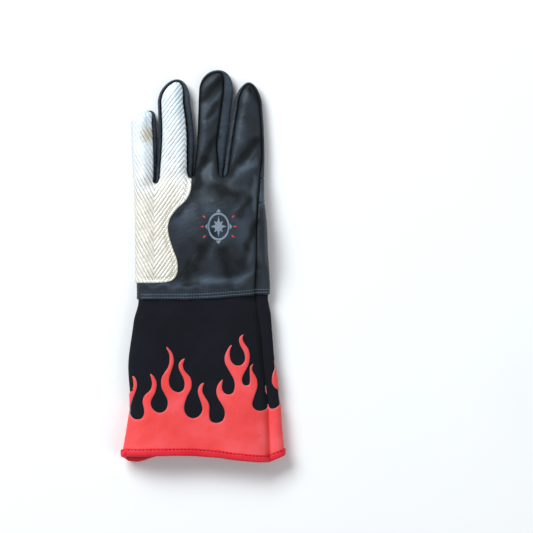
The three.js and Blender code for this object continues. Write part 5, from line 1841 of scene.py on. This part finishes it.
def thumb_grid():
    end = THUMB_END
    from_at = THUMB_LENGTH - end
    straight = np.linspace(0, from_at, int(from_at / THUMB_STEP))
    turn = np.linspace(0, 0.985, 18)[1:] * math.pi / 2
    at = np.concatenate([straight, mix(from_at, THUMB_LENGTH, np.sin(turn))])
    share = np.concatenate([straight * 0 + 1, np.cos(turn) ** THUMB_POWERS["end"]])
    centre = np.column_stack(thumb_at(at))
    angle = np.linspace(0, 2 * math.pi, THUMB_SIDES + 1)
    c, s = np.round(np.cos(angle), 12), np.round(np.sin(angle), 12)
    across = np.sign(c) * np.abs(c) ** THUMB_POWERS["across"]
    up = np.sign(s) * np.abs(s) ** THUMB_POWERS["up"]
    half = np.maximum(share * THUMB_WIDTH / 2, LEATHER)
    tall = mix(THUMB_TIP, 1, np.sqrt(share)) * THUMB_THICKNESS / 2
    way_x, way_y = -math.sin(THUMB_TURN), math.cos(THUMB_TURN)
    x = centre[:, :1] + way_y * across * half[:, None]
    y = centre[:, 1:] - way_x * across * half[:, None]
    z = THUMB_THICKNESS / 2 + up * tall[:, None]
    puff = bumps(x, y, THUMB_BUMPS)
    z = z + np.where(up > 0, puff, np.maximum(puff, 0)) * np.abs(up)
    return as_points(x, y, z)


def thumb():
    grid = thumb_grid()
    tip = grid[-1].mean(axis=0)
    grid = np.concatenate([grid, np.broadcast_to(tip, grid[-1:].shape)])
    middle = THUMB_SIDES // 2
    skin = Skin([(grid[:, : middle + 1][:, ::-1], "top"), (grid[:, middle:][:, ::-1], "bottom")])
    normals = skin.normals()
    x, y, z = skin.points.T
    hidden = z > on_skin(x, y, "palm") + LEATHER
    halves = [
        shell(skin.points, normals, faces[~hidden[faces].all(axis=1)], 0.0, -LEATHER)
        for faces in (skin.faces["top"], skin.faces["bottom"])
    ]
    points, faces = joined([half[:2] for half in halves])
    sides = np.concatenate([half[2] for half in halves])
    stands_for(make("thumb", points, faces, [BLACK, BLACK, FLESH], sides), "thumb")


thumb()

# Stitches: short threads that dip into the leather at both ends

HEM_STITCH = {"pitch": 2.3, "length": 1.6, "radius": 0.3, "rise": 0.12}
PATCH_STITCH = {"pitch": 2.0, "length": 1.3, "radius": 0.28, "rise": 0.12}
BINDING_STITCH = {"pitch": 3.3, "length": 2.4, "radius": 0.45, "rise": 0.14}
PATCH_SINK = 0.25  # of its stitches, below its face
BINDING_SEAM = (0.3, 1.1)  # below the binding's face, and below its upper edge
THREAD_RINGS = 6
THREAD_START = 0.3  # of the first stitch, share of the pitch
THREAD_DIP = 1.3  # of both ends below the line, in radii
THREAD_THIN = 0.6  # radius at both ends, against the middle's
THREAD_ARCH = 0.6  # a power, lower for a fuller arch
SLOPE_STEP = 0.3  # to either side, where a surface's slope is measured


def stitch_run(points, normals, pitch, length, radius, rise):
    """Small tubes along a line on the surface, as points and faces."""
    s = np.concatenate([[0], np.cumsum(np.linalg.norm(np.diff(points, axis=0), axis=1))])
    count = int((s[-1] - length) / pitch)
    share = np.linspace(0, 1, THREAD_RINGS)
    at = THREAD_START * pitch + pitch * np.arange(count)[:, None] + share * length
    spots = np.stack([np.interp(at, s, points[:, k]) for k in range(3)], axis=-1)
    up = unit(np.stack([np.interp(at, s, normals[:, k]) for k in range(3)], axis=-1))
    across = np.cross(unit(np.gradient(spots, axis=1)), up)
    arch = np.sin(math.pi * share) ** THREAD_ARCH
    spots = spots + up * mix(-THREAD_DIP * radius, rise, arch)[:, None]
    angle = np.arange(6) * math.pi / 3
    thick = radius * mix(THREAD_THIN, 1.0, arch)[:, None, None]
    rings = spots[:, :, None] + thick * (
        np.cos(angle)[:, None] * across[:, :, None] + np.sin(angle)[:, None] * up[:, :, None]
    )
    ids = np.arange(rings.size // 3).reshape(rings.shape[:3])
    turned = np.roll(ids, -1, axis=2)
    walls = np.stack([ids[:, :-1], turned[:, :-1], turned[:, 1:], ids[:, 1:]], axis=-1)
    ends = [ids[:, 0][:, [3, 2, 1, 0]], ids[:, 0][:, [5, 4, 3, 0]]]
    ends += [ids[:, -1][:, [0, 1, 2, 3]], ids[:, -1][:, [0, 3, 4, 5]]]
    return rings.reshape(-1, 3), np.vstack([walls.reshape(-1, 4), *ends])


def stitched(name, paths, stitch, material):
    piece = make(name, *joined([stitch_run(*path, **stitch) for path in paths]), [material])


def on_surface(line, lift, height):
    """A plan line on the skin, raised along the normal, and its normals."""
    x, y = resampled(line, 0.5).T
    z = lift(x, y)
    slope_x = (lift(x + SLOPE_STEP, y) - lift(x - SLOPE_STEP, y)) / (2 * SLOPE_STEP)
    slope_y = (lift(x, y + SLOPE_STEP) - lift(x, y - SLOPE_STEP)) / (2 * SLOPE_STEP)
    normals = unit(as_points(-slope_x, -slope_y, np.ones_like(z)))
    return as_points(x, y, z) + normals * height, normals


def ring_path(line):
    """A line round the hand, with its normals. line gives its y for a share of the way round."""
    rings = body_rings(lambda around, share: line(around) + 2 * share, [0.0, 1.0], False)
    edge, above = (ring_line(rings, row) for row in (0, 1))
    edge, above = np.vstack([edge, edge[:1]]), np.vstack([above, above[:1]])
    return edge, unit(np.cross(np.gradient(edge, axis=0), above - edge))


def hem_path(row):
    return ring_path(lambda around: hem_round(around) + row)


def patch_path(line):
    return on_surface(line, on_hand, LAY_GAP + PATCH_THICKNESS - PATCH_SINK)


def binding_path():
    edge, along, out = around_mouth()
    below, down = BINDING_SEAM
    points = edge + out * (BINDING_OUTSIDE - below) + along * (BINDING_REACH - down)
    return np.vstack([points, points[:1]]), np.vstack([out, out[:1]])


stitched("hem_stitches", [hem_path(row) for row in HEM_ROWS], HEM_STITCH, BLACK_THREAD_PAINTED_SHEEN)
stitched("patch_stitches", [patch_path(line) for line in patch_lines], PATCH_STITCH, THREAD_TAN)
stitched("binding_stitches", [binding_path()], BINDING_STITCH, THREAD_RED)

# The print on the back of the hand: a wind rose of a common kind

PRINT_CENTRE = np.array([13.9, 62.9])
PRINT_LIFT = 0.14
PRINT_WALL = 0.05
PRINT_NARROW = 0.78  # its width against its height
PRINT_STEP = 0.7
ROSE_RADII = (9.3, 6.9, 3.9)  # of its long points, its short points and the notches between them
RING_RADII = (10.2, 12.0)
ARROW = {"turns": (0, 90, 180, 270), "half": 13, "foot": 12.6, "tip": 15.2}
DASH = {"turns": (62, 90, 118, 242, 270, 298), "half": 3, "foot": 18, "tip": 20.6, "tail": 15.8}


def spokes(points):
    """Corners of a closed line from (turn in degrees, radius) pairs."""
    return np.array([
        (PRINT_NARROW * r * math.sin(math.radians(turn)), r * math.cos(math.radians(turn)))
        for turn, r in points
    ])


def print_ring(inner, outer):
    turn = np.linspace(0, 2 * math.pi, 121)
    radius = np.linspace(inner, outer, 4)[:, None]
    x = PRINT_NARROW * radius * np.sin(turn) + PRINT_CENTRE[0]
    y = radius * np.cos(turn) + PRINT_CENTRE[1]
    grid = as_points(x, y, on_back(x, y))
    return grid, grid_faces(grid)


def printed(name, shapes, grids, material):
    walls = []
    for part in [*grids, *(lifted([shape + PRINT_CENTRE], PRINT_STEP, on_back) for shape in shapes)]:
        base, _, [faces] = weld([part])
        normals = vertex_normals(base, faces)
        walls.append(shell(base, normals, faces, PRINT_LIFT, PRINT_LIFT - PRINT_WALL, 0, 0, 0.01)[:2])
    piece = make(name, *joined(walls), [material])


def pointers(turns, half, foot, tip, tail=None):
    """Arrowheads round the ring. half is half their width in degrees."""
    ends = [] if tail is None else [(0, tail)]
    corners = [(-half, foot), (0, tip), (half, foot), *ends]
    return [spokes([(turn + aside, radius) for aside, radius in corners]) for turn in turns]


rose = spokes([
    (turn, radius) for k in range(8)
    for turn, radius in ((45 * k, ROSE_RADII[k % 2]), (45 * k + 22.5, ROSE_RADII[2]))
])
printed("print_grey", [rose, *pointers(**ARROW)], [print_ring(*RING_RADII)], INK_GREY)
printed("print_red", pointers(**DASH), [], INK_RED)

# Stage, lights and camera

FLOOR_HALF = 3.0
FLOOR_HEIGHT = -0.0004
SKY = ((0.95, 0.97, 1.0, 1), 0.3)  # colour and strength
LIGHTS = [
    {"name": "key", "place": (-1.2, 1.4, 1.6), "size": (1.6, 1.1), "power": 72,
     "colour": (0.91, 0.965, 1.0)},
    {"name": "fill", "place": (1.5, -1.1, 1.5), "size": (1.8, 1.8), "power": 15,
     "colour": (0.96, 0.98, 1.0)},
]
MM_PER_PIXEL = 0.865  # scale of the picture at the glove
PICTURE_SIDE = 533
PICTURE_MIDDLE = (203.0, 266.0)  # the pixel over the frame's origin
CAMERA_HEIGHT = 2.6
SCALE_HEIGHT = 0.012  # at which the picture has that scale


def stage():
    mesh = bpy.data.meshes.new("floor")
    corners = [(-1, -1), (1, -1), (1, 1), (-1, 1)]
    mesh.from_pydata([(FLOOR_HALF * x, FLOOR_HALF * y, FLOOR_HEIGHT) for x, y in corners], [],
                     [(0, 1, 2, 3)])
    mesh.materials.append(floor_material())
    floor = placed("floor", mesh)
    world = bpy.data.worlds.new("studio")
    world.use_nodes = True
    background = world.node_tree.nodes["Background"]
    background.inputs["Color"].default_value, background.inputs["Strength"].default_value = SKY
    bpy.context.scene.world = world
    bpy.context.scene.view_settings.view_transform = "Standard"


def area_light(name, place, size, power, colour):
    light = bpy.data.lights.new(name, "AREA")
    light.shape = "RECTANGLE"
    light.size, light.size_y = size
    light.energy = power
    light.color = colour
    thing = placed(name, light)
    thing.location = place
    thing.rotation_euler = (-Vector(place)).to_track_quat("-Z", "Y").to_euler()


def camera():
    data = bpy.data.cameras.new("camera")
    wide = MM_PER_PIXEL * PICTURE_SIDE / 1000
    data.lens = data.sensor_width * (CAMERA_HEIGHT - SCALE_HEIGHT) / wide
    view = placed("camera", data)
    view.location = (
        (PICTURE_SIDE / 2 - PICTURE_MIDDLE[0]) * MM_PER_PIXEL / 1000,
        (PICTURE_MIDDLE[1] - PICTURE_SIDE / 2) * MM_PER_PIXEL / 1000,
        CAMERA_HEIGHT,
    )
    bpy.context.scene.camera = view


camera()
stage()
for light in LIGHTS:
    area_light(**light)
